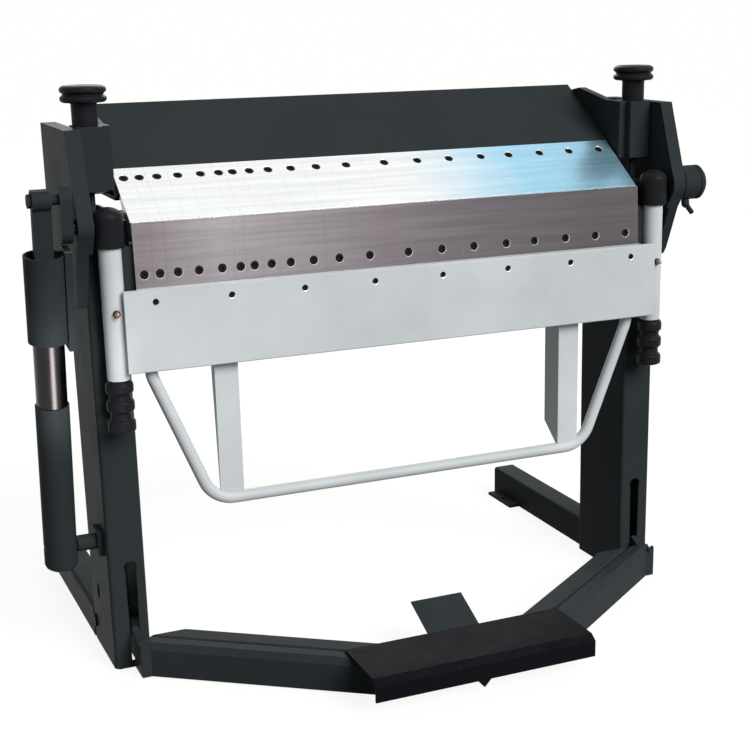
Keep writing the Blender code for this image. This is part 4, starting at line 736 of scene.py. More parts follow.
def bar_row_tree():
    """Pieces cut from one bar: each point is a piece's middle and carries its width, and each
    point of the screw places sinks a round pocket square to the sloping face."""
    w, start, end = geometry_tree("bar row", [
        ("Section", "NodeSocketObject"), ("Screw Places", "NodeSocketObject"),
        ("Pocket Radius", "NodeSocketFloat", 0.010), ("Pocket Depth", "NodeSocketFloat", 0.0078),
        ("Slope", "NodeSocketFloat", 0.6)])
    section = mesh_of(w, start["Section"])
    feeds = {"Mesh": section, "Offset Scale": 1.0, "Individual": False}
    bar = w.fed("GeometryNodeExtrudeMesh", feeds, mode="FACES")["Mesh"]
    flipped = w.fed("GeometryNodeFlipFaces", {"Mesh": section})["Mesh"]
    closed = w.node("GeometryNodeJoinGeometry")
    w.join(bar, closed.inputs["Geometry"])
    w.join(flipped, closed.inputs["Geometry"])
    feeds = {"Geometry": closed.outputs["Geometry"], "Distance": 0.00001}
    merged = w.fed("GeometryNodeMergeByDistance", feeds)["Geometry"]
    feeds = {"Name": "width"}
    width = w.fed("GeometryNodeInputNamedAttribute", feeds, data_type="FLOAT")["Attribute"]
    feeds = {"Points": start["Geometry"], "Instance": merged, "Scale": w.vector(width, 1.0, 1.0)}
    row = w.fed("GeometryNodeInstanceOnPoints", feeds)["Instances"]
    through = w.math("MULTIPLY", start["Pocket Depth"], 2.0)
    pocket = cylinder(w, 32, start["Pocket Radius"], through)["Mesh"]
    places = mesh_of(w, start["Screw Places"])
    pockets = leaned_on_points(w, places, pocket, start["Slope"])
    cut = less(w, realized(w, row), realized(w, pockets), **{"Self Intersection": True})
    return end_tree(w, start, end, cut)


def grown(name, source, tree_maker, material, sizes):
    """Runs one geometry tree on a mesh and leaves its result as a plain mesh object."""
    tree = made_once(tree_maker)
    piece = placed(name, source)
    modifier = piece.modifiers.new(tree.name, "NODES")
    modifier.node_group = tree
    values = {**sizes, "Material": material_for(material)}
    for item in tree.interface.items_tree:
        if item.in_out == "INPUT" and item.name in values:
            modifier[item.identifier] = values[item.name]
    plain_mesh(piece)
    return piece


def reworked(piece, weld):
    """Takes a grown piece apart into a solid again, with its faces outwards."""
    solid = new_solid(piece.data, weld)
    bpy.data.objects.remove(piece)
    bmesh.ops.recalc_face_normals(solid, faces=solid.faces)
    return solid


def points_mesh(name, points, edges=()):
    """Bare points, and the lines that join them."""
    mesh = bpy.data.meshes.new(name + "_points")
    mesh.from_pydata([tuple(p) for p in points], list(edges), [])
    return mesh


def screw_row(name, points, tilt, body, radius, height, seed):
    """Socket screws whose heads' middles stand on the points."""
    piece = grown(name, points_mesh(name, points), screw_row_tree, "screw black", {
        "Head Radius": radius, "Head Height": height, "Chamfer": radius * 0.10,
        "Socket Radius": radius * 0.52, "Tilt": tilt, "Seed": seed})
    smooth(piece.data)
    dressed(piece, body)


# Shares of the blades' length that each finger and blade takes, and the screws in them.
WIDTH_SHARES = (40, 30, 50, 45, 60, 25, 40, 40, 50, 60, 65, 85, 195, 145, 180, 160)
KERF = 0.00015
KERF_SLACK = 0.00005
ROW_END = 0.002
WIDE_FINGER = 0.130
WIDE_SCREW_OFFSET = 0.043
FINGER_NOSE = Vector((0.018, BED_HEIGHT + 0.0003))
FINGER_RUN = Vector((0.1477, 0.1007))
FINGER_THICKNESS = 0.012
FINGER_SOLE = 0.046
FINGER_HEEL = 0.42
FINGER_FLAT = 0.0012
FINGER_SCREW_DROP = 0.033
BLADE_SCREW_DROP = 0.112
BLADE_EDGE_THICKNESS = 0.0062
BLADE_END_CHAMFER = 0.0070
BLADE_BACK = 0.004
POCKET_RADIUS = 0.0100
POCKET_DEPTH = 0.0078
POCKET_RIM = 0.0010

# The apron's screws, their counterbores and its folded front edge.
APRON_SCREWS = 8
APRON_SCREW_INSET = 0.035
APRON_SCREW_DROP = 0.027
APRON_HEAD_REACH = 0.0061
APRON_HEAD_HEIGHT = 0.0042
APRON_POCKET_DEPTH = 0.005
APRON_POCKET_RADIUS = 0.0066
APRON_POCKET_RIM = 0.0020
APRON_FOLD_RADIUS = 0.0035

# Places and sizes of small turned pieces.
PEDAL_PIN_HEAD = 0.005
PEDAL_PIN_SHANK = 0.010
LIFT_TUBE_BORE = 0.0145
LIFT_TUBE_LIP = 0.0016
NIPPLE_HEIGHT = 0.861
HANDLE_CORNER_X = 0.487
TOP_KNOB_DISC = 0.036
HEIGHT_KNOB_BORE = 0.0147
HEIGHT_KNOB_FLOOR = 0.050
PIVOT_HEAD_X = 0.684
PIVOT_HEAD_Y = 0.015
PIVOT_HEAD_RADIUS = 0.034
PIVOT_SHOULDER = 0.014
PIVOT_LIP = 0.003
DOME_STEPS = 12
SHAFT_Y = 0.016
SHAFT_RADIUS = 0.015
SHAFT_START = 0.020
COLLAR_BORE = 0.0153
COLLAR_CAP = 0.024
COLLAR_CAP_LENGTH = 0.004
SLEEVE_RIM_DEPTH = 0.012
SLEEVE_RIM_RADIUS = 0.0012
THIN_EDGE = 0.0008
FINE_EDGE = 0.0006


def blade_spans():
    """Left and right edge of each finger, in the machine's own frame."""
    step = BLADE_LENGTH / sum(WIDTH_SHARES)
    spans = []
    left = -BLADE_LENGTH / 2
    for share in WIDTH_SHARES:
        right = left + share * step
        spans.append((left, right))
        left = right
    return spans


def screw_xs():
    """One screw in the middle of each finger, and two in each wide one."""
    xs = []
    for left, right in blade_spans():
        middle = (left + right) / 2
        if right - left > WIDE_FINGER:
            xs += [middle - WIDE_SCREW_OFFSET, middle + WIDE_SCREW_OFFSET]
        else:
            xs.append(middle)
    return xs


def finger_face(x, down):
    """A point on the fingers' sloping face, its distance down from the top edge."""
    top = FINGER_NOSE + FINGER_RUN
    spot = top - FINGER_RUN.normalized() * down
    return place(x, spot.x, spot.y)


def end_face(name, outline):
    """An end outline of (y, z) corners as one flat face, pointing back along -X."""
    mesh = bpy.data.meshes.new(name)
    mesh.from_pydata([(0.5, y, z) for y, z in outline], [], [tuple(range(len(outline)))])
    return mesh


def finger_section():
    """The fingers' end outline: a sloping plate on a flat sole."""
    nose, run = FINGER_NOSE, FINGER_RUN
    top = nose + run
    back = top - Vector((-run.y, run.x)).normalized() * FINGER_THICKNESS
    outline = [
        nose, nose + Vector((0, FINGER_FLAT)), top, back, back - run * FINGER_HEEL,
        nose + Vector((FINGER_SOLE, 0)),
    ]
    return end_face("finger_section", [(FRONT_Y + p.x, p.y) for p in outline])


def blade_section():
    """The blades' end outline: a bar whose front face leans back to its top edge."""
    low, high = BLADES_LOW, BLADES_HIGH
    return end_face("blade_section", [
        (low.y, low.z), (low.y, low.z + BLADE_EDGE_THICKNESS),
        (high.y - BLADE_EDGE_THICKNESS, high.z), (high.y, high.z), (high.y, low.z)])


def bar_row(name, material, section, mouths, slope):
    """A row of pieces with one section, parted by thin kerfs, with a pocket at each mouth."""
    spans = blade_spans()
    middles = points_mesh(name + "_middles", [(MIDDLE_X + (a + b) / 2, 0, 0) for a, b in spans])
    widths = middles.attributes.new("width", "FLOAT", "POINT")
    widths.data.foreach_set("value", [b - a - KERF for a, b in spans])
    helpers = {
        "Section": placed(name + "_section", section),
        "Screw Places": placed(name + "_mouths", points_mesh(name + "_screws", mouths)),
    }
    row = grown(name, middles, bar_row_tree, material, {
        **helpers, "Pocket Radius": POCKET_RADIUS, "Pocket Depth": POCKET_DEPTH, "Slope": slope})
    for helper in helpers.values():
        bpy.data.objects.remove(helper)
    solid = reworked(row, weld=True)
    round_edges(solid, POCKET_RIM, 1, at_a_mouth(mouths, POCKET_RADIUS), BARE)
    return solid


def at_a_mouth(mouths, radius, slack=0.0003):
    """A test for edges with both ends at a distance from the middle of one of a face's pockets."""

    def on_a_rim(edge):
        return any(
            all(abs((v.co - mouth).length - radius) < slack for v in edge.verts)
            for mouth in mouths)

    return on_a_rim


def at_a_kerf(edge):
    """Whether an edge lies in one of the cuts between the pieces of a row."""
    first, second = (v.co.x - MIDDLE_X for v in edge.verts)
    if abs(first - second) > KERF_SLACK or abs(first) > BLADE_LENGTH / 2 - ROW_END:
        return False
    return any(abs(first - left) < KERF for left, _right in blade_spans())


def ease_row(solid, radius):
    """Rounds a row's edges, and its kerfs no more than their own width allows."""
    round_edges(solid, KERF / 2, 1, at_a_kerf, UNWORN)
    round_edges(solid, radius, pick=lambda edge: not at_a_kerf(edge))


class OBJECT_OT_brake_fingers(bpy.types.Operator):
    """Clamping fingers: ground steel, cut from one bar, with sunk cap screws"""
    bl_idname = "object.brake_fingers"
    bl_label = "Clamping fingers"

    def execute(self, context):
        sizes = context.scene.brake_sizes
        slope = math.atan2(FINGER_RUN.y, FINGER_RUN.x)
        mouths = [finger_face(x, FINGER_SCREW_DROP) for x in screw_xs()]
        solid = bar_row("clamping_fingers", "finger steel", finger_section(), mouths, slope)
        ease_row(solid, sizes.steel_edge)
        nodes = [f"finger_{number:02d}" for number in range(1, len(WIDTH_SHARES) + 1)]
        finished("clamping_fingers", solid, "finger steel", "clamp_beam", nodes)
        out = Vector((0, -FINGER_RUN.y, FINGER_RUN.x)).normalized()
        rise = sizes.screw_height / 2 - POCKET_DEPTH
        screw_row(
            "finger_screws", [mouth + out * rise for mouth in mouths], slope, "clamp_beam",
            sizes.screw_radius, sizes.screw_height, seed=11)
        return {"FINISHED"}


class OBJECT_OT_brake_beam(bpy.types.Operator):
    """Clamping beam: folded box, sloping cover, end blocks and the rods inside the columns"""
    bl_idname = "object.brake_beam"
    bl_label = "Clamping beam"

    def execute(self, context):
        edge = context.scene.brake_sizes.plate_edge
        for node in ("clamp_beam", "beam_cover"):
            dark(node, "clamp_beam", edge)
        for word, _side in SIDES:
            dark("end_block_" + word, "clamp_beam", edge * 1.5)
            # The pull rods take the dark paint so the columns' slots look dark inside: painted
            # shade.
            coloured("pull_rod_" + word, "dark paint")
        return {"FINISHED"}


class OBJECT_OT_brake_frame(bpy.types.Operator):
    """Frame: columns, cheeks, rear feet, bed and the strut's bracket"""
    bl_idname = "object.brake_frame"
    bl_label = "Frame"

    def execute(self, context):
        sizes = context.scene.brake_sizes
        edge = sizes.plate_edge
        fold = {"radius": sizes.fold_radius, "segments": 5, "worn": LIGHTLY_WORN}
        for word, _side in SIDES:
            node = "column_" + word
            dark(node, "frame", edge * 0.6, steps=[{**fold, "pick": folds(node, 2)}])
            dark("cheek_" + word, "frame", edge * 1.2)
            node = "rear_foot_" + word
            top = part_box(node)[1].z
            at_top = along(1, 0.3, lambda p, top=top: abs(p.z - top) < NEAR)
            dark(node, "frame", edge * 0.6, steps=[{**fold, "pick": at_top}])
            pedal_pin(word, edge)
        dark("bed_beam", "frame", edge)
        copied("bed_nose", "frame", "bright steel", "bright_steel", sizes.steel_edge)
        dark("strut_bracket", "frame", edge * 0.7)
        return {"FINISHED"}


def pedal_pin(word, edge):
    """A pin through the column and the pedal's arm, with a wide head on its outer end."""
    node = "pedal_pin_" + word
    low, high, middle, size = measured(node)
    start, way = (high.x, -1) if word == "left" else (low.x, 1)
    rim, neck = size.z / 2, size.x - PEDAL_PIN_HEAD
    profile = rounded_profile([
        (0, 0), (PEDAL_PIN_SHANK, 0), (PEDAL_PIN_SHANK, neck), (rim, neck), (rim, size.x),
        (0, size.x)], edge * 0.7, 3)
    solid = turned(profile, (start, middle.y, middle.z), (way, 0, 0), 48)
    mark_edges(solid)
    stand_in(node, solid, "frame", "dark paint")


class OBJECT_OT_brake_leaf(bpy.types.Operator):
    """Folding leaf: apron, stiffening bar, blades, lifting tubes and hangers"""
    bl_idname = "object.brake_leaf"
    bl_label = "Folding leaf"

    def execute(self, context):
        sizes = context.scene.brake_sizes
        apron(sizes)
        dark("leaf_bar", "leaf", sizes.plate_edge)
        blades(sizes)
        for word, _side in SIDES:
            copied("handle_bracket_" + word, "leaf", "white paint", "white_paint",
                   sizes.plate_edge * 0.5)
            lift_tube(word)
            grease_nipple(word)
        return {"FINISHED"}


def apron(sizes):
    """The folded white plate, with its own screws in place of the solid's plain heads."""
    low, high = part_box("apron")
    step = (BLADE_LENGTH - 2 * APRON_SCREW_INSET) / (APRON_SCREWS - 1)
    xs = [-BLADE_LENGTH / 2 + APRON_SCREW_INSET + k * step for k in range(APRON_SCREWS)]
    mouths = [Vector((MIDDLE_X + x, low.y, high.z - APRON_SCREW_DROP)) for x in xs]
    solid = solid_of("apron")
    open_counterbores(solid, mouths, APRON_HEAD_REACH, APRON_POCKET_DEPTH)
    rim = at_a_mouth(mouths, APRON_POCKET_RADIUS)
    round_edges(solid, APRON_POCKET_RIM, 1, rim, BARE, clamp=False)
    front = along(0, 0.5, lambda p: abs(p.y - low.y) < NEAR)
    round_edges(solid, APRON_FOLD_RADIUS, 4, front, HALF_WORN)
    near = at_a_mouth(mouths, APRON_POCKET_RADIUS, APRON_POCKET_RADIUS)
    round_edges(solid, sizes.plate_edge * 0.7, pick=lambda edge: not near(edge))
    stand_in("apron", solid, "leaf", "white paint")
    sink = Vector((0, APRON_POCKET_DEPTH - APRON_HEAD_HEIGHT / 2, 0))
    screw_row(
        "apron_screws", [mouth + sink for mouth in mouths], QUARTER_TURN, "leaf",
        sizes.apron_screw_radius, APRON_HEAD_HEIGHT, seed=5)


def open_counterbores(solid, mouths, reach, depth):
    """Takes the plain heads out of a front face's counterbores and closes the floors."""

    def in_a_head(vert):
        aways = [vert.co - mouth for mouth in mouths]
        return any(
            math.hypot(away.x, away.z) < reach and -NEAR < away.y < depth + NEAR
            for away in aways)

    heads = [vert for vert in solid.verts if in_a_head(vert)]
    bmesh.ops.delete(solid, geom=heads, context="VERTS")
    rims = [edge for edge in solid.edges if len(edge.link_faces) == 1]
    bmesh.ops.holes_fill(solid, edges=rims, sides=0)
    bmesh.ops.recalc_face_normals(solid, faces=solid.faces)


def blades(sizes):
    """The folding blades: dark ground steel, parted by thin kerfs, with sunk cap screws."""
    height = BED_HEIGHT - BLADE_SCREW_DROP
    mouths = [Vector((MIDDLE_X + x, blade_face(height), height)) for x in screw_xs()]
    solid = bar_row(
        "folding_blades_shown", "blade steel", blade_section(), mouths, QUARTER_TURN)
    right, back = BLADES_HIGH.x - NEAR, BLADES_HIGH.y - BLADE_BACK
    end = along(2, 0.05, lambda p: p.x > right and p.y < back)
    round_edges(solid, BLADE_END_CHAMFER, 1, end)
    ease_row(solid, sizes.steel_edge)
    stand_in("folding_blades", solid, "leaf", "blade steel")
    sink = Vector((0, POCKET_DEPTH - sizes.screw_height / 2, 0))
    screw_row(
        "blade_screws", [mouth + sink for mouth in mouths], QUARTER_TURN, "leaf",
        sizes.screw_radius, sizes.screw_height, seed=3)


def blade_face(z):
    """Where the blades' leaning front face is at a height."""
    low, high = BLADES_LOW, BLADES_HIGH
    lean = (high.y - low.y - BLADE_EDGE_THICKNESS) / (high.z - low.z - BLADE_EDGE_THICKNESS)
    return low.y + lean * (z - low.z - BLADE_EDGE_THICKNESS)


def lift_tube(word):
    """A white tube with turned rims."""
    node = "lift_tube_" + word
    low, _high, middle, size = measured(node)
    radius, length = size.x / 2, size.z
    bore, lip = LIFT_TUBE_BORE, LIFT_TUBE_LIP
    profile = [
        (bore, 0), (radius - lip, 0), (radius - lip * 0.3, lip * 0.3), (radius, lip),
        (radius, length - lip), (radius - lip * 0.3, length - lip * 0.3), (radius - lip, length),
        (bore, length),
    ]
    solid = turned(profile, (middle.x, middle.y, low.z), UP, 72, ring=True)
    mark_edges(solid)
    stand_in(node, solid, "leaf", "white paint")


def grease_nipple(word):
    """A small brass nipple on a dark boss, in the front of a lifting tube."""
    low, _high, middle, _size = measured("lift_tube_" + word)
    boss = [(0, -0.003), (0.0082, -0.003), (0.0082, 0.0045), (0.0068, 0.0058), (0, 0.0058)]
    nipple = [
        (0, 0.0050), (0.0056, 0.0050), (0.0056, 0.0085), (0.0036, 0.0098), (0.0036, 0.0115),
        (0.0050, 0.0130), (0.0046, 0.0160), (0.0020, 0.0176), (0, 0.0176),
    ]
    for name, profile, radius, sides, material in (
            ("nipple_boss_", boss, 0.0005, 32, "tube steel"),
            ("grease_nipple_", nipple, 0.0006, 24, "nipple brass")):
        solid = turned(
            rounded_profile(profile, radius, 2), (middle.x, low.y, NIPPLE_HEIGHT), (0, -1, 0),
            sides)
        finished(name + word, solid, material, "leaf")


class OBJECT_OT_brake_handle(bpy.types.Operator):
    """Bail handle: one bent tube under the apron"""
    bl_idname = "object.brake_handle"
    bl_label = "Bail handle"

    def execute(self, context):
        sizes = context.scene.brake_sizes
        low, high, middle, size = measured("handle_bar")
        y = middle.y
        radius = sizes.handle_radius
        leg_x = size.x / 2 - radius
        right = [
            Vector((leg_x, y, high.z)), Vector((leg_x, y, high.z - radius)),
            Vector((HANDLE_CORNER_X, y, low.z + radius))]
        left = [Vector((-p.x, p.y, p.z)) for p in reversed(right)]
        points = [Vector((MIDDLE_X + p.x, p.y, p.z)) for p in right + left]
        links = [(k, k + 1) for k in range(len(points) - 1)]
        bail = points_mesh("bail", points, links)
        tube = grown("bail_handle", bail, bent_tube_tree, "white paint", {
            "Tube Radius": radius, "Bend Radius": sizes.handle_bend, "Sides": 40,
            "Bend Steps": 20})
        finished("bail_handle", reworked(tube, weld=False), "white paint", "leaf",
                 ("handle_bar",))
        return {"FINISHED"}


class OBJECT_OT_brake_knobs(bpy.types.Operator):
    """Knobs: the beam's two adjusting knobs and the leaf's two height knobs"""
    bl_idname = "object.brake_knobs"
    bl_label = "Knobs"

    def execute(self, context):
        for word, _side in SIDES:
            top_knob(word)
            height_knob(word)
        return {"FINISHED"}


def knob(node, profile, low, middle, radius, steps, sides):
    """A turned piece of black plastic that stands upright on a body of its own."""
    foot = (middle.x, middle.y, low.z)
    solid = turned(rounded_profile(profile, radius, steps), foot, UP, sides)
    mark_edges(solid)
    stand_in(node, solid, node, "black plastic", KNOB_ANGLE)


def top_knob(word):
    """A grooved disc on a stem, with a shallow dish in its top."""
    node = "top_knob_" + word
    low, _high, middle, size = measured(node)
    rim = size.x / 2
    stem = size.z - TOP_KNOB_DISC
    disc = (
        (rim - 0.0060, 0), (rim - 0.0012, 0.0028), (rim, 0.0065), (rim, 0.0110),
        (rim - 0.0070, 0.0172), (rim, 0.0236), (rim, 0.0288), (rim - 0.0020, 0.0325),
        (rim - 0.0090, TOP_KNOB_DISC), (rim - 0.016, TOP_KNOB_DISC - 0.0008),
        (0.018, TOP_KNOB_DISC - 0.0028), (0.010, TOP_KNOB_DISC - 0.0032),
        (0, TOP_KNOB_DISC - 0.0032))
    profile = [(0, 0), (0.0278, 0), (0.0278, stem - 0.003), (0.031, stem)]
    profile += [(radius, stem + height) for radius, height in disc]
    knob(node, profile, low, middle, 0.0014, 4, 80)


def height_knob(word):
    """A grip with three lips, bored from above for the spindle."""
    node = "height_knob_" + word
    low, _high, middle, size = measured(node)
    rim, height = size.x / 2, size.z
    shares = (
        (0.74, 0), (0.98, 0.03), (1, 0.07), (1, 0.19), (0.96, 0.225), (0.78, 0.27), (0.76, 0.33),
        (0.78, 0.38), (0.97, 0.43), (1, 0.47), (1, 0.58), (0.96, 0.615), (0.80, 0.655),
        (0.79, 0.70), (0.81, 0.74), (0.98, 0.79), (1, 0.83), (1, 0.92), (0.95, 0.965), (0.84, 1))
    profile = [(0, 0)] + [(rim * r, height * h) for r, h in shares]
    profile += [
        (HEIGHT_KNOB_BORE, height), (HEIGHT_KNOB_BORE, HEIGHT_KNOB_FLOOR),
        (0, HEIGHT_KNOB_FLOOR)]
    knob(node, profile, low, middle, 0.0012, 3, 64)


class OBJECT_OT_brake_pivots(bpy.types.Operator):
    """Pivot heads with their shafts, spindles, crank, angle stop collar and its lever"""
    bl_idname = "object.brake_pivots"
    bl_label = "Pivots and angle stop"

    def execute(self, context):
        sizes = context.scene.brake_sizes
        for word, side in SIDES:
            pivot_head(word, side)
            coloured("spindle_" + word, "tube steel")
        dark("crank", "pivot_carrier", sizes.plate_edge, smooth_over=TUBE_ANGLE)
        stop_collar()
        dark("collar_lever", "collar_lever", FINE_EDGE, smooth_over=40)
        return {"FINISHED"}


def pivot_head(word, side):
    """A domed cap over the spindle's bearing, and the shaft that turns in the cheek."""
    node = "pivot_head_" + word
    low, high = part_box(node)
    x, y = MIDDLE_X + side * PIVOT_HEAD_X, FRONT_Y + PIVOT_HEAD_Y
    radius, lip = PIVOT_HEAD_RADIUS, PIVOT_LIP
    shoulder = BED_HEIGHT + PIVOT_SHOULDER
    dome = high.z - shoulder
    profile = [(0, low.z), (radius - lip, low.z), (radius, low.z + lip), (radius, shoulder - lip)]
    for k in range(DOME_STEPS + 1):
        angle = QUARTER_TURN * k / DOME_STEPS
        across = radius * math.cos(angle) if k < DOME_STEPS else 0
        profile.append((across, shoulder + dome * math.sin(angle)))
    solid = turned(profile, (x, y, 0), UP, 72)
    mark_edges(solid, 25.0, 0.004)
    stand_in(node, solid, "pivot_carrier", "black plastic", KNOB_ANGLE)
    start = x + side * SHAFT_START
    length = abs((high.x if side > 0 else low.x) - start)
    profile = [(0, 0), (SHAFT_RADIUS, 0), (SHAFT_RADIUS, length), (0, length)]
    shaft = turned(
        rounded_profile(profile, 0.0015, 3), (start, FRONT_Y + SHAFT_Y, BED_HEIGHT),
        (side, 0, 0), 48)
    finished("pivot_shaft_" + word, shaft, "tube steel", "pivot_carrier")


def stop_collar():
    """The clamping collar of the angle stop: a stepped ring with a turned groove."""
    low, _high, middle, size = measured("stop_collar")
    rim, whole = size.z / 2, size.x
    length = whole - COLLAR_CAP_LENGTH
    cap, groove, step = COLLAR_CAP, rim - 0.0024, 0.0015
    profile = [
        (COLLAR_BORE, 0), (rim - 0.002, 0), (rim, 0.002), (rim, length * 0.64),
        (groove, length * 0.67), (groove, length * 0.72), (rim, length * 0.75),
        (rim, length - 0.0078), (rim - 0.0078, length), (cap + 0.002, length),
        (cap + 0.002, length - step), (cap, length - step), (cap, whole - step),
        (cap - step, whole), (COLLAR_BORE, whole),
    ]
    solid = turned(profile, (low.x, middle.y, middle.z), (1, 0, 0), 72, ring=True)
    mark_edges(solid)
    stand_in("stop_collar", solid, "stop_collar", "dark paint", 30.0)


class OBJECT_OT_brake_strut(bpy.types.Operator):
    """Counterbalance strut on the left: lower tube, sliding tube, sleeve and link"""
    bl_idname = "object.brake_strut"
    bl_label = "Counterbalance strut"

    def execute(self, context):
        sizes = context.scene.brake_sizes
        dark("strut_lower_tube", "strut_lower", THIN_EDGE, smooth_over=TUBE_ANGLE)
        copied("strut_inner_tube", "strut_lower", "tube steel", "tube_steel", FINE_EDGE,
               smooth_over=TUBE_ANGLE)
        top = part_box("strut_sleeve")[1].z - SLEEVE_RIM_DEPTH
        rim = {
            "radius": SLEEVE_RIM_RADIUS, "worn": BARE,
            "pick": lambda edge: min(v.co.z for v in edge.verts) > top}
        dark("strut_sleeve", "strut_sleeve", THIN_EDGE, steps=[rim], smooth_over=TUBE_ANGLE)
        dark("strut_link", "strut_link", sizes.plate_edge, smooth_over=TUBE_ANGLE)
        return {"FINISHED"}


class OBJECT_OT_brake_pedal(bpy.types.Operator):
    """Foot pedal: two arms, the tread and the release tab"""
    bl_idname = "object.brake_pedal"
    bl_label = "Foot pedal"

    def execute(self, context):
        edge = context.scene.brake_sizes.plate_edge
        for word, _side in SIDES:
            dark("pedal_arm_" + word, "pedal", edge * 1.2)
        copied("tread", "pedal", "pedal paint", "pedal_paint", edge * 0.7)
        dark("release_tab", "release_tab", edge * 0.5)
        return {"FINISHED"}


# The stage.

FLOOR_REACH = 14.0
BACKDROP = (1.0, 1.0, 0.985, 1)
FLOOR_GLOW = 1.12
FLOOR_GLOW_SHARE = 0.80
SKY_STRENGTH = 0.18
FLOOR_LIT = (0.20, 0.20, 0.20, 1)
FLOOR_SEEN = (0.80, 0.80, 0.79, 1)
SUN_STRENGTH = 3.05
SUN_AIM = (-0.30, 0.82, -0.56)
SUN_SPREAD = math.radians(36.0)
BACK_POWER = 85.0
STREAK_POWER = 0.21
STREAK_SPREAD = 38.0


class OBJECT_OT_brake_stage(bpy.types.Operator):
    """Pale floor, soft lamps, white surroundings and the camera"""
    bl_idname = "object.brake_stage"
    bl_label = "Stage"

    def execute(self, context):
        scene = context.scene
        scene.view_settings.view_transform = "Standard"
        reach = FLOOR_REACH
        corners = [(-reach, -reach, 0), (reach, -reach, 0), (reach, reach, 0), (-reach, reach, 0)]
        floor = bpy.data.meshes.new("floor")
        floor.from_pydata(corners, [], [(0, 1, 2, 3)])
        floor.materials.append(pale_floor())
        placed("floor", floor)
        white_surroundings(scene)
        # The main light: even over the whole floor, with soft shadows.
        light("key", "SUN", SUN_STRENGTH, (0, 0, 0), SUN_AIM, angle=SUN_SPREAD)
        soft_lamp("back", BACK_POWER, (1.2, 4.0, 3.0), (0.0, 0.0, 0.7), 2.6, 2.6)
        # A small lamp for the streak on the strut's sliding tube, kept off the pieces beside it.
        soft_lamp(
            "low", STREAK_POWER, (-0.745, -0.470, 0.547), (-0.801, -0.174, 0.725), 0.20, 0.24,
            STREAK_SPREAD)
        camera(scene)
        return {"FINISHED"}


def seen_directly(w):
    """1 where the camera looks, in mirrors and through glass too, and 0 where light is cast."""
    ray = w.node("ShaderNodeLightPath").outputs
    either = w.math("MAXIMUM", ray["Is Camera Ray"], ray["Is Glossy Ray"])
    return w.math("MAXIMUM", either, ray["Is Transmission Ray"])


def pale_floor():
    """White to the camera and in reflections, and still darker where the machine shades it."""
    material = bpy.data.materials.new("pale floor")
    w = cleared(material)
    seen = seen_directly(w)
    shade = w.mix(seen, FLOOR_LIT, FLOOR_SEEN)
    matt = w.fed("ShaderNodeBsdfDiffuse", {"Color": shade})["BSDF"]
    glow = w.fed("ShaderNodeEmission", {"Color": BACKDROP, "Strength": FLOOR_GLOW})["Emission"]
    feeds = {"Fac": w.math("MULTIPLY", seen, FLOOR_GLOW_SHARE), 1: matt, 2: glow}
    blend = w.fed("ShaderNodeMixShader", feeds)["Shader"]
    w.fed("ShaderNodeOutputMaterial", {"Surface": blend})
    return material


def white_surroundings(scene):
    """White where they are seen, and a weak even light on the machine."""
    scene.world = scene.world or bpy.data.worlds.new("surroundings")
    w = cleared(scene.world)
    feeds = {"Color": (1.0, 1.0, 1.0, 1), "Strength": SKY_STRENGTH}
    cast = w.fed("ShaderNodeBackground", feeds)["Background"]
    shown = w.fed("ShaderNodeBackground", {"Color": BACKDROP})["Background"]
    blend = w.fed("ShaderNodeMixShader", {"Fac": seen_directly(w), 1: cast, 2: shown})["Shader"]
    w.fed("ShaderNodeOutputWorld", {"Surface": blend})


def light(name, kind, power, where, aim, **settings):
    """A light at a place, turned along its aim."""
    made = bpy.data.lights.new(name, kind)
    made.energy = power
    for key, value in settings.items():
        setattr(made, key, value)
    holder = placed(name, made)
    holder.location = where
    holder.rotation_euler = Vector(aim).to_track_quat("-Z", "Y").to_euler()


def soft_lamp(name, power, where, towards, width, height, spread=180.0):
    """A soft lamp that looks at a point; a small spread keeps its light in a narrow beam."""
    light(
        name, "AREA", power, where, Vector(towards) - Vector(where), shape="RECTANGLE",
        size=width, size_y=height, spread=math.radians(spread))


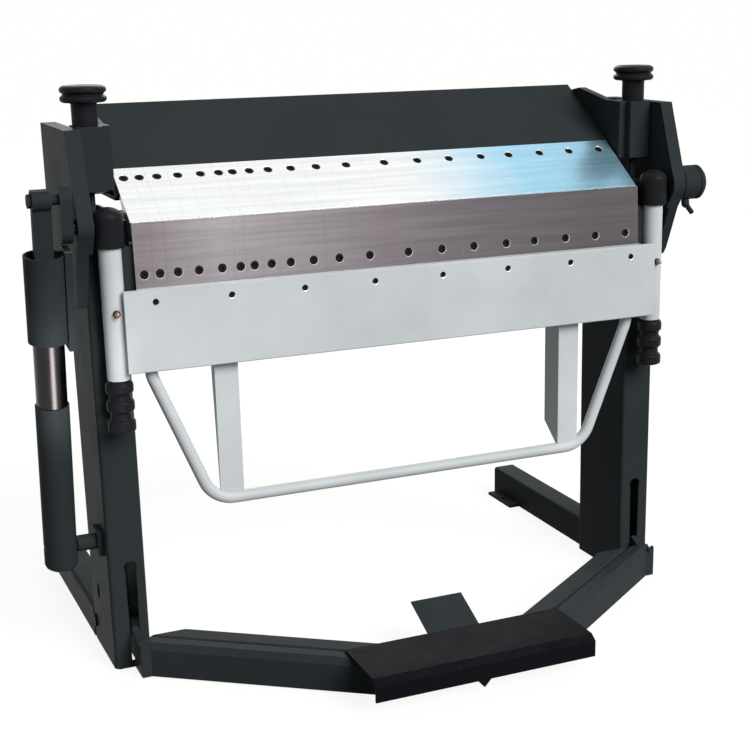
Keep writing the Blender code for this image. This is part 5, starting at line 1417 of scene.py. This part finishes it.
def camera(scene):
    """The photograph's viewpoint: to the operator's left, a little above the bed, looking down."""
    right = Vector((0.91177, -0.41044, -0.01453))
    up = Vector((0.12627, 0.24649, 0.96087))
    forward = Vector((0.39080, 0.87794, -0.27658))
    lens = bpy.data.cameras.new("camera")
    lens.sensor_width = 36.0
    lens.lens = 70.71
    lens.shift_x = -0.060
    lens.shift_y = 0.0667
    lens.clip_end = 60.0
    holder = placed("camera", lens)
    turn = Matrix((right, up, -forward)).transposed().to_4x4()
    holder.matrix_world = Matrix.Translation(place(-1.3572, -3.1181, 1.4986)) @ turn
    scene.camera = holder


STEPS = (
    OBJECT_OT_brake_stage, OBJECT_OT_brake_frame, OBJECT_OT_brake_beam, OBJECT_OT_brake_fingers,
    OBJECT_OT_brake_leaf, OBJECT_OT_brake_handle, OBJECT_OT_brake_pivots, OBJECT_OT_brake_knobs,
    OBJECT_OT_brake_strut, OBJECT_OT_brake_pedal,
)
SETTINGS = (
    ("brake_paint", BrakePaintSettings), ("brake_steel", BrakeSteelSettings),
    ("brake_sizes", BrakeSizeSettings),
)


class VIEW3D_PT_brake(bpy.types.Panel):
    """Sizes, colours and steps of the sheet metal brake"""
    bl_idname = "VIEW3D_PT_brake"
    bl_label = "Sheet metal brake"
    bl_space_type = "VIEW_3D"
    bl_region_type = "UI"
    bl_category = "Brake"

    def draw(self, context):
        layout = self.layout
        for name, group in SETTINGS:
            box = layout.box()
            for key in group.__annotations__:
                box.prop(getattr(context.scene, name), key)
        for step in STEPS:
            layout.operator(step.bl_idname)


def register():
    for name, group in SETTINGS:
        bpy.utils.register_class(group)
        setattr(bpy.types.Scene, name, bpy.props.PointerProperty(type=group))
    for step in STEPS:
        bpy.utils.register_class(step)
    bpy.utils.register_class(VIEW3D_PT_brake)


def unregister():
    bpy.utils.unregister_class(VIEW3D_PT_brake)
    for step in reversed(STEPS):
        bpy.utils.unregister_class(step)
    for name, group in reversed(SETTINGS):
        delattr(bpy.types.Scene, name)
        bpy.utils.unregister_class(group)


def main():
    register()
    for step in STEPS:
        family, word = step.bl_idname.split(".")
        done = getattr(getattr(bpy.ops, family), word)()
        if done != {"FINISHED"}:
            raise RuntimeError(step.bl_idname + " did not finish")


if __name__ == "__main__":
    main()
